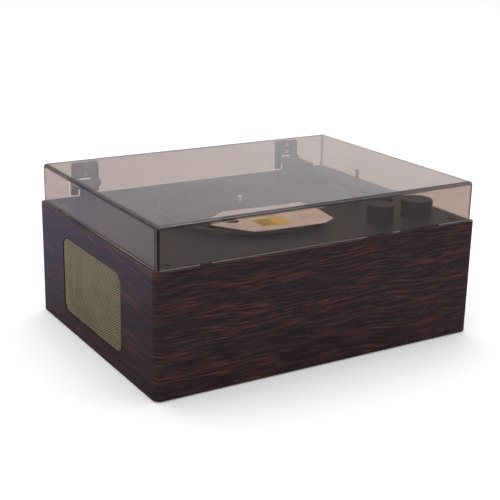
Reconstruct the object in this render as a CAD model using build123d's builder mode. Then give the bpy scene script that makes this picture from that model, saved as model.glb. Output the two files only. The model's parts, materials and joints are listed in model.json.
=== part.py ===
from build123d import *
import math
import os

os.makedirs("parts", exist_ok=True)

# Turntable record player: a wooden cabinet with two side speakers, a belt-driven
# platter, a pivoted tonearm and a hinged clear dust cover.
# Origin: middle of the footprint, on the surface the feet stand on. +X right, +Y back, +Z up.

# ---------------------------------------------------------------- driving dimensions (mm)
W = 420.0              # cabinet width
D = 315.0              # cabinet depth
DECK_Z = 140.0         # top of the cabinet and of the deck plate
LID_TOP_Z = 187.0      # top of the closed dust cover
FOOT_H = 1.5           # rubber feet
WALL = 10.0            # wooden panels
CORNER_R = 8.0         # upright cabinet corners
RIM = 4.0              # strip of wood outside the deck plate
DECK_T = 2.5           # deck plate
RUN = 0.04             # radial clearance of a running fit

SPINDLE_X = -20.0      # platter axis
SPINDLE_Y = 0.0
PLATTER_R = 96.0
MAT_TOP_Z = DECK_Z + 7.4

PIVOT_X = 133.0        # tonearm swing axis
PIVOT_Y = 96.0
ARM_Z = DECK_Z + 16.5  # tonearm tube axis and lift axis
ARM_L = 172.0          # pivot to stylus

LID_INSET = 3.8        # cabinet face to dust cover face
LID_T = 2.5            # acrylic wall
LID_GAP = 1.0          # bumper height under the dust cover
HINGE_Z = DECK_Z + 16.0
HINGE_XS = (-153.0, 142.0)
HINGE_R = 5.0          # hinge knuckles

GRILLE_W = 158.0
GRILLE_H = 90.0
GRILLE_R = 12.0
GRILLE_Y = 5.0
GRILLE_Z = 69.0
GRILLE_GAP = 1.0       # between the grille and the wood round it
GRILLE_SINK = 0.8      # grille below the face of the wood
GRILLE_LIP = 0.7       # turned edge behind the sheet
SHEET_T = 0.8
WINDOW_EDGE = 5.0      # wood left behind the grille's edge
WINDOW_W = GRILLE_W - 2 * WINDOW_EDGE
WINDOW_H = GRILLE_H - 2 * WINDOW_EDGE
SPEAKER_R = 42.0       # speaker opening
SPEAKER_SCREWS = [(GRILLE_Y + y, GRILLE_Z + z) for y in (-30, 30) for z in (-43.5, 43.5)]

# ---------------------------------------------------------------- helpers
made = []


def save(builder, label):
    """Label a finished piece and write its file."""
    builder.part.label = label
    export_step(builder.part, "parts/" + label + ".step")
    made.append(label)


def corner_points(x, y):
    """The four corners of a centred rectangle, given its half sizes."""
    return [(-x, -y), (x, -y), (x, y), (-x, y)]


def level(z):
    """Horizontal plane at height z."""
    return Plane.XY.offset(z)


# ---------------------------------------------------------------- cabinet panels
FLOOR_Z = FOOT_H
BOTTOM_T = 6.0
BOTTOM_TOP_Z = FLOOR_Z + 1 + BOTTOM_T
IN_X = W / 2 - WALL
IN_Y = D / 2 - WALL
LEDGE_Z = DECK_Z - DECK_T
JACKS_X = -118.0       # rear connection plate
JACKS_Z = 42.0
JACKS_W = 96.0
JACKS_H = 38.0
PLATE_T = 1.5
JACKS_EDGE = 7.0       # wood behind the jack plate's ends
PLATE_SCREWS = [(JACKS_X + dx, JACKS_Z) for dx in (-(JACKS_W - JACKS_EDGE) / 2, (JACKS_W - JACKS_EDGE) / 2)]
SCREW_R = 1.7          # small screws
PILOT_R = SCREW_R + 0.02
CLEAR_R = SCREW_R + 0.1
SPEAKER_BITE = 5.0     # speaker screws in the wood
JACKS_R = 3.0          # corners of the jack plate


def mitred_wall(outer_a, outer_b, inner_b, inner_a):
    """One side of the cabinet ring, cut off at its two mitres, with the deck's rebate."""
    with BuildPart() as wall:
        with BuildSketch(level(FLOOR_Z)):
            RectangleRounded(W, D, CORNER_R)
            Rectangle(2 * IN_X, 2 * IN_Y, mode=Mode.SUBTRACT)
            Polygon(outer_a, outer_b, inner_b, inner_a, align=None, mode=Mode.INTERSECT)
        extrude(amount=DECK_Z - FLOOR_Z)
        with BuildSketch(level(LEDGE_Z)):
            RectangleRounded(W - 2 * RIM, D - 2 * RIM, CORNER_R - RIM)
        extrude(amount=DECK_T, mode=Mode.SUBTRACT)
    return wall


outer = corner_points(W / 2, D / 2)
inner = corner_points(IN_X, IN_Y)
front_panel = mitred_wall(outer[0], outer[1], inner[1], inner[0])
save(front_panel, "front_panel")

with BuildPart() as back_panel:
    add(mitred_wall(outer[2], outer[3], inner[3], inner[2]).part)
    with BuildSketch(Plane.XZ.offset(-D / 2)):
        with Locations((JACKS_X, JACKS_Z)):
            RectangleRounded(JACKS_W + 0.4, JACKS_H + 0.4, JACKS_R)
    extrude(amount=PLATE_T + 0.3, mode=Mode.SUBTRACT)
    with BuildSketch(Plane.XZ.offset(-D / 2)):
        with Locations((JACKS_X, JACKS_Z)):
            Rectangle(JACKS_W - 2 * JACKS_EDGE, JACKS_H - JACKS_EDGE)
    extrude(amount=WALL, mode=Mode.SUBTRACT)
    with BuildSketch(Plane.XZ.offset(-D / 2)):
        with Locations(*PLATE_SCREWS):
            Circle(PILOT_R)
    extrude(amount=WALL - 1, mode=Mode.SUBTRACT)
save(back_panel, "back_panel")


def side_panel(side):
    """Side wall with the speaker opening and the grille's rebate; side is -1 left, +1 right."""
    if side < 0:
        wall = mitred_wall(outer[3], outer[0], inner[0], inner[3])
    else:
        wall = mitred_wall(outer[1], outer[2], inner[2], inner[1])
    with BuildPart() as panel:
        add(wall.part)
        with BuildSketch(Plane.YZ.offset(side * W / 2)):
            with Locations((GRILLE_Y, GRILLE_Z)):
                RectangleRounded(GRILLE_W + 2 * GRILLE_GAP, GRILLE_H + 2 * GRILLE_GAP, GRILLE_R + GRILLE_GAP)
        extrude(amount=-side * (GRILLE_SINK + SHEET_T + GRILLE_LIP + 0.1), mode=Mode.SUBTRACT)
        with BuildSketch(Plane.YZ.offset(side * W / 2)):
            with Locations((GRILLE_Y, GRILLE_Z)):
                RectangleRounded(WINDOW_W, WINDOW_H, GRILLE_R - WINDOW_EDGE)
        extrude(amount=-side * WALL, mode=Mode.SUBTRACT)
        with BuildSketch(Plane.YZ.offset(side * IN_X)):
            with Locations(*SPEAKER_SCREWS):
                Circle(PILOT_R)
        extrude(amount=side * (SPEAKER_BITE + 1), mode=Mode.SUBTRACT)
    return panel


left_panel = side_panel(-1)
save(left_panel, "left_panel")
right_panel = side_panel(1)
save(right_panel, "right_panel")

BLOCK = 20.0           # corner blocks
PILOT_L = 12.0         # pilot holes in the blocks
VENT_L = 60.0
VENT_W = 4.0
VENT_PITCH = 14.0
BOTTOM_SCREWS = corner_points(IN_X - BLOCK / 2, IN_Y - BLOCK / 2)
DECK_SCREWS = corner_points(189.0, 139.0)

with BuildPart() as bottom_panel:
    with BuildSketch(level(FLOOR_Z + 1)):
        Rectangle(2 * IN_X - 0.2, 2 * IN_Y - 0.2)
    extrude(amount=BOTTOM_T)
    with BuildSketch(level(FLOOR_Z + 1)):
        with Locations(*BOTTOM_SCREWS):
            Circle(CLEAR_R)
        with GridLocations(VENT_PITCH, 1, 8, 1):
            SlotOverall(VENT_L, VENT_W, rotation=90)
    extrude(amount=BOTTOM_T, mode=Mode.SUBTRACT)
save(bottom_panel, "bottom_panel")

with BuildPart() as corner_blocks:
    with BuildSketch(level(BOTTOM_TOP_Z)):
        with Locations(*BOTTOM_SCREWS):
            Rectangle(BLOCK, BLOCK)
    extrude(amount=LEDGE_Z - BOTTOM_TOP_Z)
    with BuildSketch(level(BOTTOM_TOP_Z)):
        with Locations(*BOTTOM_SCREWS):
            Circle(PILOT_R)
    extrude(amount=PILOT_L, mode=Mode.SUBTRACT)
    with BuildSketch(level(LEDGE_Z)):
        with Locations(*DECK_SCREWS):
            Circle(PILOT_R)
    extrude(amount=-PILOT_L, mode=Mode.SUBTRACT)
save(corner_blocks, "corner_blocks")

FOOT_R = 11.0
FOOT_X = 168.0
FOOT_Y = 116.0
with BuildPart() as rubber_feet:
    with BuildSketch(level(0)):
        with Locations(*corner_points(FOOT_X, FOOT_Y)):
            Circle(FOOT_R)
    extrude(amount=FOOT_H + 1, taper=3)
save(rubber_feet, "rubber_feet")

# ---------------------------------------------------------------- deck plate
WELL = [(42, -128), (68, -104), (98, -38), (98, 38), (68, 104), (42, 128)]
WELL_OUTLINE = WELL + [(-x, y) for x, y in reversed(WELL)]
WELL_DEPTH = 0.5
WELL_SHIFT = 15.0      # middle of the well, to the right of the spindle
SEAT_DEPTH = 1.2       # round seats of the deck's corner screws
MOTOR_HOLE_R = 9.0
PIVOT_HOLE_R = 6.5
LIFT_HOLE_R = 2.6
BUSH_R = 6.5
MOTOR_ANGLE = math.radians(150)
MOTOR_REACH = 82.0
MOTOR_X = SPINDLE_X + MOTOR_REACH * math.cos(MOTOR_ANGLE)
MOTOR_Y = SPINDLE_Y + MOTOR_REACH * math.sin(MOTOR_ANGLE)
VOLUME = (160.0, -107.0)
MODE = (107.0, -106.0)
SHAFT_R = 3.0
SPEED = (179.0, 16.0)  # slide switches beside the tonearm
AUTO = (179.0, 42.0)
SLOT_W = 3.0
SPEED_TRAVEL = 8.0
AUTO_TRAVEL = 5.0
BUTTON_L = 6.0
TRANSIT_SCREWS = [(-60.0, -86.0), (24.0, -86.0), (-20.0, 100.0)]
LIFT_ANGLE = math.radians(20)
LIFT_R = 26.0          # arc of the cue lift about the tonearm pivot
LIFT_X = PIVOT_X - LIFT_R * math.sin(LIFT_ANGLE)
LIFT_Y = PIVOT_Y - LIFT_R * math.cos(LIFT_ANGLE)
REST = (141.0, -12.0)  # tonearm rest post
HINGE_Y = D / 2 - LID_INSET - LID_T - HINGE_R
SCREW_SEAT_R = 6.5

with BuildPart() as deck_plate:
    with BuildSketch(level(LEDGE_Z)):
        RectangleRounded(W - 2 * RIM - 0.4, D - 2 * RIM - 0.4, CORNER_R - RIM)
    extrude(amount=DECK_T)
    with BuildSketch(level(DECK_Z)):
        with Locations((SPINDLE_X + WELL_SHIFT, SPINDLE_Y)):
            Polygon(*WELL_OUTLINE, align=None)
    extrude(amount=-WELL_DEPTH, mode=Mode.SUBTRACT)
    with BuildSketch(level(DECK_Z)):
        with Locations(*DECK_SCREWS):
            Circle(SCREW_SEAT_R)
    extrude(amount=-SEAT_DEPTH, mode=Mode.SUBTRACT)
    with BuildSketch(level(DECK_Z)):
        with Locations(*DECK_SCREWS, *TRANSIT_SCREWS):
            Circle(CLEAR_R)
        with Locations((SPINDLE_X, SPINDLE_Y)):
            Circle(BUSH_R + 0.05)
        with Locations((MOTOR_X, MOTOR_Y)):
            Circle(MOTOR_HOLE_R)
        with Locations(VOLUME, MODE):
            Circle(SHAFT_R + 1)
        with Locations(SPEED):
            Rectangle(SLOT_W, SPEED_TRAVEL + BUTTON_L - 1)
        with Locations(AUTO):
            Rectangle(SLOT_W, AUTO_TRAVEL + BUTTON_L - 1)
        with Locations((PIVOT_X, PIVOT_Y)):
            Circle(PIVOT_HOLE_R)
        with Locations((LIFT_X, LIFT_Y)):
            Circle(LIFT_HOLE_R)
    extrude(amount=-DECK_T, mode=Mode.SUBTRACT)
save(deck_plate, "deck_plate")


CROSS_W = 0.8          # cross recess of a screw
CROSS_DEPTH = 0.7


def pan_screw(x, y, z, head_r, head_h, length, up=True):
    """Pan-head screw: its seat is at z and the shank goes away from the head."""
    way = 1 if up else -1
    with BuildPart() as screw:
        with BuildSketch(level(z)):
            with Locations((x, y)):
                Circle(head_r)
        extrude(amount=way * head_h)
        with BuildSketch(level(z)):
            with Locations((x, y)):
                Circle(SCREW_R)
        extrude(amount=-way * length)
        with BuildSketch(level(z + way * head_h)):
            with Locations((x, y)):
                Rectangle(head_r * 1.3, CROSS_W)
                Rectangle(CROSS_W, head_r * 1.3)
        extrude(amount=-way * CROSS_DEPTH, mode=Mode.SUBTRACT)
    return screw.part


with BuildPart() as deck_screws:
    for x, y in DECK_SCREWS:
        add(pan_screw(x, y, DECK_Z - SEAT_DEPTH, 3.3, 1.1, 11))
    for x, y in TRANSIT_SCREWS:
        add(pan_screw(x, y, DECK_Z - WELL_DEPTH, 2.4, 1.0, 7))
save(deck_screws, "deck_screws")

with BuildPart() as bottom_screws:
    for x, y in BOTTOM_SCREWS:
        add(pan_screw(x, y, FLOOR_Z + 1, 3.0, 0.9, 16, up=False))

# ---------------------------------------------------------------- speakers
def side_plane(side, depth):
    """Upright plane at a depth inside one side face, facing outwards to the right."""
    return Plane.YZ.offset(side * (W / 2 - depth))


def make_grille(side, label):
    """Perforated metal sheet, set just below the face of the wood."""
    with BuildPart() as grille:
        with BuildSketch(side_plane(side, GRILLE_SINK)):
            with Locations((GRILLE_Y, GRILLE_Z)):
                RectangleRounded(GRILLE_W, GRILLE_H, GRILLE_R)
        extrude(amount=-side * SHEET_T)
        with BuildSketch(side_plane(side, GRILLE_SINK + SHEET_T)):
            with Locations((GRILLE_Y, GRILLE_Z)):
                RectangleRounded(GRILLE_W, GRILLE_H, GRILLE_R)
                inner_w = GRILLE_W - 2 * SHEET_T
                RectangleRounded(inner_w, GRILLE_H - 2 * SHEET_T, GRILLE_R - SHEET_T, mode=Mode.SUBTRACT)
        extrude(amount=-side * GRILLE_LIP)
    save(grille, label)


BASKET_W = 94.0        # speaker flange
BASKET_T = 1.2
BASKET_R = 14.0        # flange corners
BASKET_BACK = 24.0     # depth of the basket
MAGNET_R = 26.0
MAGNET_T = 13.0
SPEAKER_HEAD_R = 3.2
SPEAKER_HEAD_T = 1.6


def speaker_profile_plane(side):
    """Plane through the speaker's axis: x points into the cabinet, y is the radius."""
    face = Vector(side * IN_X, GRILLE_Y, GRILLE_Z)
    return Plane(origin=face, x_dir=(-side, 0, 0), z_dir=(0, side, 0))


def make_speaker(side, name):
    """Basket, cone and magnet of one driver, screwed to the inside of the side wall."""
    plane = speaker_profile_plane(side)
    axis = Axis((side * IN_X, GRILLE_Y, GRILLE_Z), (1, 0, 0))
    with BuildPart() as basket:
        with BuildSketch(side_plane(side, WALL)):
            with Locations((GRILLE_Y, GRILLE_Z)):
                RectangleRounded(BASKET_W, BASKET_W, BASKET_R)
                Circle(SPEAKER_R, mode=Mode.SUBTRACT)
            with Locations(*SPEAKER_SCREWS):
                Circle(CLEAR_R, mode=Mode.SUBTRACT)
        extrude(amount=-side * BASKET_T)
        with BuildSketch(plane):
            with BuildLine():
                inner_back = BASKET_BACK - BASKET_T
                rim = [(BASKET_T, SPEAKER_R), (BASKET_T, SPEAKER_R + 1.5), (BASKET_BACK, 24)]
                Polyline(*rim, (BASKET_BACK, 8), (inner_back, 8), (inner_back, 23.2), close=True)
            make_face()
        revolve(axis=axis)
        with BuildSketch(side_plane(side, WALL + 6)):
            with Locations((GRILLE_Y, GRILLE_Z)):
                with PolarLocations(32, 4, start_angle=45):
                    RectangleRounded(22, 20, 4)
        extrude(amount=-side * 14, mode=Mode.SUBTRACT)
    save(basket, name + "_speaker_basket")
    with BuildPart() as cone:
        with BuildSketch(plane):
            with BuildLine():
                outline = [(0.3, 41.6), (0.3, 38.5), (2.0, 36.5), (16.0, 10.6), (12.0, 0), (12.8, 0),
                           (17.0, 11.0), (3.0, 37.0), (1.3, 39.0), (1.3, 41.6)]
                Polyline(*outline, close=True)
            make_face()
        revolve(axis=axis)
    save(cone, name + "_speaker_cone")
    with BuildPart() as magnet:
        with BuildSketch(side_plane(side, WALL + BASKET_BACK)):
            with Locations((GRILLE_Y, GRILLE_Z)):
                Circle(MAGNET_R)
        extrude(amount=-side * MAGNET_T)
        fillet(magnet.edges().filter_by(GeomType.CIRCLE).sort_by(Axis.X)[0 if side > 0 else -1], 2)
    save(magnet, name + "_speaker_magnet")


for side, name in ((-1, "left"), (1, "right")):
    make_grille(side, name + "_grille")
    make_speaker(side, name)

with BuildPart() as speaker_screws:
    for side in (-1, 1):
        with BuildSketch(side_plane(side, WALL + BASKET_T)):
            with Locations(*SPEAKER_SCREWS):
                Circle(SPEAKER_HEAD_R)
        extrude(amount=-side * SPEAKER_HEAD_T)
        with BuildSketch(side_plane(side, WALL + BASKET_T)):
            with Locations(*SPEAKER_SCREWS):
                Circle(SCREW_R)
        extrude(amount=side * (BASKET_T + SPEAKER_BITE))

# ---------------------------------------------------------------- platter and drive
SPINDLE_R = 3.57       # free end, for the record's centre hole
JOURNAL_R = 3.0        # lower length, in the platter and the bush
SPINDLE_TOP_Z = DECK_Z + 19.5
SPINDLE_LOW_Z = DECK_Z - 21.0
SPINDLE_NOSE_R = 2.6
SKIRT_Z = DECK_Z + 1.0
PLATTER_TOP_Z = DECK_Z + 6.2
PLATE_LOW_Z = PLATTER_TOP_Z - 2.0
HUB_R = 10.0
RING_T = 4.0           # belt ring under the platter
SKIRT_T = 3.0
BELT_RING_R = 70.0
PULLEY_R = 5.5
BELT_T = 0.6
BELT_GAP = 0.05
BELT_LOW_Z = DECK_Z + 1.5
BELT_H = 2.4
platter_axis = Axis((SPINDLE_X, SPINDLE_Y, 0), (0, 0, 1))
platter_section = Plane(origin=(SPINDLE_X, SPINDLE_Y, 0), x_dir=(1, 0, 0), z_dir=(0, -1, 0))

with BuildPart() as platter:
    with BuildSketch(platter_section):
        with BuildLine():
            Polyline(
                (JOURNAL_R, SKIRT_Z), (HUB_R, SKIRT_Z), (HUB_R + 2, PLATE_LOW_Z),
                (BELT_RING_R - RING_T, PLATE_LOW_Z), (BELT_RING_R - RING_T, SKIRT_Z),
                (BELT_RING_R, SKIRT_Z), (BELT_RING_R, PLATE_LOW_Z), (PLATTER_R - SKIRT_T, PLATE_LOW_Z),
                (PLATTER_R - SKIRT_T, SKIRT_Z), (PLATTER_R - 0.6, SKIRT_Z),
                (PLATTER_R, SKIRT_Z + 0.8), (PLATTER_R, PLATTER_TOP_Z - 0.8),
                (PLATTER_R - 0.8, PLATTER_TOP_Z), (JOURNAL_R, PLATTER_TOP_Z), close=True,
            )
        make_face()
    revolve(axis=platter_axis)
save(platter, "platter")

MAT_EDGE = 1.5         # platter rim left bare
COLLAR_R = 9.0         # bearing bush, above and below the deck
COLLAR_H = 1.1
BUSH_L = 24.0

with BuildPart() as platter_mat:
    with BuildSketch(level(PLATTER_TOP_Z)):
        with Locations((SPINDLE_X, SPINDLE_Y)):
            Circle(PLATTER_R - MAT_EDGE)
            Circle(SPINDLE_R + 0.4, mode=Mode.SUBTRACT)
    extrude(amount=MAT_TOP_Z - PLATTER_TOP_Z)
    chamfer(platter_mat.faces().sort_by(Axis.Z)[-1].outer_wire().edges(), 0.4)
save(platter_mat, "platter_mat")

with BuildPart() as spindle:
    with BuildSketch(level(SPINDLE_LOW_Z)):
        with Locations((SPINDLE_X, SPINDLE_Y)):
            Circle(JOURNAL_R)
    extrude(amount=SPINDLE_TOP_Z - SPINDLE_LOW_Z)
    with BuildSketch(level(MAT_TOP_Z + 0.1)):
        with Locations((SPINDLE_X, SPINDLE_Y)):
            Circle(SPINDLE_R)
    extrude(amount=SPINDLE_TOP_Z - MAT_TOP_Z - 0.1)
    fillet(spindle.edges().sort_by(Axis.Z)[-1], SPINDLE_NOSE_R)
save(spindle, "spindle")

with BuildPart() as bearing_bush:
    with BuildSketch(level(DECK_Z - WELL_DEPTH)):
        with Locations((SPINDLE_X, SPINDLE_Y)):
            Circle(COLLAR_R)
    extrude(amount=COLLAR_H)
    with BuildSketch(level(DECK_Z - WELL_DEPTH)):
        with Locations((SPINDLE_X, SPINDLE_Y)):
            Circle(BUSH_R)
    extrude(amount=-BUSH_L)
    with BuildSketch(level(SPINDLE_LOW_Z)):
        with Locations((SPINDLE_X, SPINDLE_Y)):
            Circle(JOURNAL_R + RUN)
    extrude(amount=BUSH_L, mode=Mode.SUBTRACT)
save(bearing_bush, "bearing_bush")


def belt_points(grow):
    """Where the belt's straight runs meet its two arcs, and a middle point of each arc."""
    big = BELT_RING_R + BELT_GAP + grow
    small = PULLEY_R + BELT_GAP + grow
    lean = math.acos((big - small) / MOTOR_REACH)
    ends = []
    for turn in (MOTOR_ANGLE + lean, MOTOR_ANGLE - lean):
        ends.append((SPINDLE_X + big * math.cos(turn), SPINDLE_Y + big * math.sin(turn)))
        ends.append((MOTOR_X + small * math.cos(turn), MOTOR_Y + small * math.sin(turn)))
    far_big = (SPINDLE_X - big * math.cos(MOTOR_ANGLE), SPINDLE_Y - big * math.sin(MOTOR_ANGLE))
    far_small = (MOTOR_X + small * math.cos(MOTOR_ANGLE), MOTOR_Y + small * math.sin(MOTOR_ANGLE))
    return ends, far_big, far_small


with BuildPart() as drive_belt:
    with BuildSketch(level(BELT_LOW_Z)):
        for grow, mode in ((BELT_T, Mode.ADD), (0, Mode.SUBTRACT)):
            ends, far_big, far_small = belt_points(grow)
            with BuildLine():
                ThreePointArc(ends[0], far_big, ends[2])
                Line(ends[2], ends[3])
                ThreePointArc(ends[3], far_small, ends[1])
                Line(ends[1], ends[0])
            make_face(mode=mode)
    extrude(amount=BELT_H)
save(drive_belt, "drive_belt")

MOTOR_TOP_Z = LEDGE_Z - 4.0
MOTOR_SHAFT_R = 1.0
MOTOR_R = 14.0
MOTOR_L = 21.0
BOSS_R = 4.0
PULLEY_LOW_Z = DECK_Z + 0.6
PULLEY_H = 3.4
SHAFT_LOW_Z = MOTOR_TOP_Z + 2.0
with BuildPart() as motor:
    with BuildSketch(level(MOTOR_TOP_Z)):
        with Locations((MOTOR_X, MOTOR_Y)):
            Circle(MOTOR_R)
    extrude(amount=-MOTOR_L)
    fillet(motor.edges().sort_by(Axis.Z)[0], 1.5)
    with BuildSketch(level(MOTOR_TOP_Z)):
        with Locations((MOTOR_X, MOTOR_Y)):
            Circle(BOSS_R)
    extrude(amount=1.5)
save(motor, "motor")

with BuildPart() as motor_pulley:
    with BuildSketch(level(PULLEY_LOW_Z)):
        with Locations((MOTOR_X, MOTOR_Y)):
            Circle(PULLEY_R)
    extrude(amount=PULLEY_H)
    with BuildSketch(level(SHAFT_LOW_Z)):
        with Locations((MOTOR_X, MOTOR_Y)):
            Circle(MOTOR_SHAFT_R)
    extrude(amount=PULLEY_LOW_Z - SHAFT_LOW_Z)
save(motor_pulley, "motor_pulley")

MOTOR_EAR = 19.0
BRACKET_T = 1.2
BRACKET_W = 22.0
with BuildPart() as motor_bracket:
    with BuildSketch(level(MOTOR_TOP_Z)):
        with Locations((MOTOR_X, MOTOR_Y)):
            RectangleRounded(2 * MOTOR_EAR + 8, BRACKET_W, 5)
            Circle(BOSS_R + 0.2, mode=Mode.SUBTRACT)
        with Locations((MOTOR_X - MOTOR_EAR, MOTOR_Y), (MOTOR_X + MOTOR_EAR, MOTOR_Y)):
            Circle(CLEAR_R, mode=Mode.SUBTRACT)
    extrude(amount=BRACKET_T)
    with BuildSketch(level(MOTOR_TOP_Z + BRACKET_T)):
        with Locations((MOTOR_X - MOTOR_EAR, MOTOR_Y), (MOTOR_X + MOTOR_EAR, MOTOR_Y)):
            Circle(3.6)
            Circle(CLEAR_R, mode=Mode.SUBTRACT)
    extrude(amount=LEDGE_Z - MOTOR_TOP_Z - BRACKET_T)
save(motor_bracket, "motor_bracket")

with BuildPart() as motor_screws:
    for dx in (-MOTOR_EAR, MOTOR_EAR):
        with BuildSketch(level(LEDGE_Z)):
            with Locations((MOTOR_X + dx, MOTOR_Y)):
                Circle(SCREW_R)
        extrude(amount=MOTOR_TOP_Z - LEDGE_Z)
        with BuildSketch(level(MOTOR_TOP_Z)):
            with Locations((MOTOR_X + dx, MOTOR_Y)):
                Circle(3)
        extrude(amount=-1.4)

BACK_Y = D / 2 - 0.3   # outer face of the jack plate
PLATE_HEAD_R = 2.8
PLATE_HEAD_T = 0.9
with BuildPart() as plate_screws:
    with BuildSketch(Plane.XZ.offset(-(BACK_Y - 0.1))):
        with Locations(*PLATE_SCREWS):
            Circle(PLATE_HEAD_R)
    extrude(amount=PLATE_HEAD_T - 0.1)
    with BuildSketch(Plane.XZ.offset(-(BACK_Y - PLATE_HEAD_T))):
        with Locations(*PLATE_SCREWS):
            Circle(SCREW_R)
    extrude(amount=7)

with BuildPart() as case_screws:
    add(bottom_screws.part)
    add(plate_screws.part)
    add(speaker_screws.part)
    add(motor_screws.part)
save(case_screws, "case_screws")

# ---------------------------------------------------------------- transit card on the mat
CARD_T = 0.5
CARD_TURN = -4.0
CARD_X = -19.0
CARD_Y = -60.0
LABEL_T = 0.12
card_plane = Plane(origin=(CARD_X, CARD_Y, MAT_TOP_Z)).rotated((0, 0, CARD_TURN))
with BuildPart() as transit_card:
    with BuildSketch(card_plane):
        with BuildLine():
            Polyline((64, 40), (-38, 40), (-73, 6), (-73, -8), (-37, -41), (52, -41), (52, -38), (69, -31))
            ThreePointArc((69, -31), (72, 6), (64, 40))
        make_face()
        with Locations((-44, 7)):
            Circle(10, mode=Mode.SUBTRACT)
    extrude(amount=CARD_T)
save(transit_card, "transit_card")

with BuildPart() as card_label:
    with BuildSketch(card_plane.offset(CARD_T)):
        with Locations((-2, -13)):
            Rectangle(38, 30)
    extrude(amount=LABEL_T)
save(card_label, "card_label")

# ---------------------------------------------------------------- tonearm
BASE_TOP_Z = DECK_Z + 8.0
HOUSE_LOW_Z = BASE_TOP_Z + 0.5
HOUSE_TOP_Z = DECK_Z + 24.0
HOUSE_W = 21.0
HOUSE_FRONT = -12.0    # along the arm, from the pivot
HOUSE_BACK = 33.0
POST_R = 4.0
PIN_R = 1.2
CUE_X = 155.0
CUE_Y = 70.0
CUE_Z = DECK_Z + 8.0
CUE_PIN_R = 1.0
BASE_W_X = 30.0
BASE_L_Y = 58.0
SLEEVE_R = 6.0         # tonearm bearing, below the deck
SLEEVE_L = 14.0
PLUNGER_R = 2.0        # stem of the cue lift
swing_post = (PIVOT_X, PIVOT_Y)

with BuildPart() as tonearm_base:
    with BuildSketch(level(DECK_Z)):
        with Locations((PIVOT_X, PIVOT_Y - 1)):
            RectangleRounded(BASE_W_X, BASE_L_Y, 4)
    extrude(amount=BASE_TOP_Z - DECK_Z)
    chamfer(tonearm_base.faces().sort_by(Axis.Z)[-1].edges(), 0.8)
    with BuildSketch(level(DECK_Z)):
        with Locations(swing_post):
            Circle(SLEEVE_R)
    extrude(amount=-SLEEVE_L)
    with BuildSketch(level(DECK_Z - SLEEVE_L)):
        with Locations(swing_post):
            Circle(POST_R + RUN)
    extrude(amount=BASE_TOP_Z - DECK_Z + SLEEVE_L, mode=Mode.SUBTRACT)
    with BuildSketch(level(DECK_Z)):
        with Locations((LIFT_X, LIFT_Y)):
            Circle(PLUNGER_R + RUN)
    extrude(amount=BASE_TOP_Z - DECK_Z, mode=Mode.SUBTRACT)
    with BuildSketch(level(DECK_Z)):
        with Locations((CUE_X - 3.5, CUE_Y)):
            Rectangle(7, 16)
    extrude(amount=3)
    with BuildSketch(Plane.YZ.offset(CUE_X - 5)):
        with Locations((CUE_Y, CUE_Z - 2.5)):
            RectangleRounded(10, 11, 3)
    extrude(amount=2.5)
    with BuildSketch(Plane.YZ.offset(CUE_X - 6)):
        with Locations((CUE_Y, CUE_Z)):
            Circle(CUE_PIN_R + RUN)
    extrude(amount=4, mode=Mode.SUBTRACT)
save(tonearm_base, "tonearm_base")

with BuildPart() as tonearm_housing:
    with BuildSketch(level(HOUSE_LOW_Z)):
        with Locations((PIVOT_X, PIVOT_Y + (HOUSE_FRONT + HOUSE_BACK) / 2)):
            RectangleRounded(HOUSE_W, HOUSE_BACK - HOUSE_FRONT, 2)
    extrude(amount=HOUSE_TOP_Z - HOUSE_LOW_Z)
    fillet(tonearm_housing.faces().sort_by(Axis.Z)[-1].edges(), 1.0)
    with BuildSketch(level(HOUSE_LOW_Z + 2)):
        with Locations((PIVOT_X, PIVOT_Y + HOUSE_FRONT - 2)):
            Rectangle(HOUSE_W - 5, HOUSE_BACK - HOUSE_FRONT, align=(Align.CENTER, Align.MIN))
    extrude(amount=HOUSE_TOP_Z - HOUSE_LOW_Z - 4, mode=Mode.SUBTRACT)
    with BuildSketch(level(HOUSE_LOW_Z)):
        with Locations(swing_post):
            Circle(POST_R)
    extrude(amount=DECK_Z - SLEEVE_L + 1 - HOUSE_LOW_Z)
    with BuildSketch(Plane.YZ.offset(PIVOT_X - HOUSE_W / 2)):
        with Locations((PIVOT_Y, ARM_Z)):
            Circle(PIN_R + RUN)
    extrude(amount=HOUSE_W, mode=Mode.SUBTRACT)
save(tonearm_housing, "tonearm_housing")

with BuildPart() as arm_pivot_pin:
    with BuildSketch(Plane.YZ.offset(PIVOT_X - HOUSE_W / 2 + 0.3)):
        with Locations((PIVOT_Y, ARM_Z)):
            Circle(PIN_R)
    extrude(amount=HOUSE_W - 0.6)
save(arm_pivot_pin, "arm_pivot_pin")

TUBE_R = 3.6
WEIGHT_BACK = 28.0     # counterweight, behind the pivot
WEIGHT_L = 19.0
WEIGHT_W = 12.0
WEIGHT_H = 5.0
SHELL_BACK_Y = PIVOT_Y - ARM_L + 22
SHELL_L = 34.0
SHELL_W = 14.0
SHELL_LOW_Z = DECK_Z + 12.4
SHELL_TOP_Z = DECK_Z + 20.0
STYLUS_Y = PIVOT_Y - ARM_L
STYLUS_Z = MAT_TOP_Z + 2.2

with BuildPart() as tonearm_tube:
    with BuildSketch(Plane.XZ.offset(-(PIVOT_Y + 9))):
        with Locations((PIVOT_X, ARM_Z)):
            Circle(TUBE_R)
    extrude(amount=PIVOT_Y + 9 - SHELL_BACK_Y)
    with BuildSketch(Plane.XZ.offset(-(PIVOT_Y + 7))):
        with Locations((PIVOT_X, ARM_Z)):
            RectangleRounded(12, 9, 1.5)
    extrude(amount=14)
    with BuildSketch(Plane.YZ.offset(PIVOT_X - 8)):
        with Locations((PIVOT_Y, ARM_Z)):
            Circle(PIN_R)
    extrude(amount=16, mode=Mode.SUBTRACT)
save(tonearm_tube, "tonearm_tube")

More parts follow.
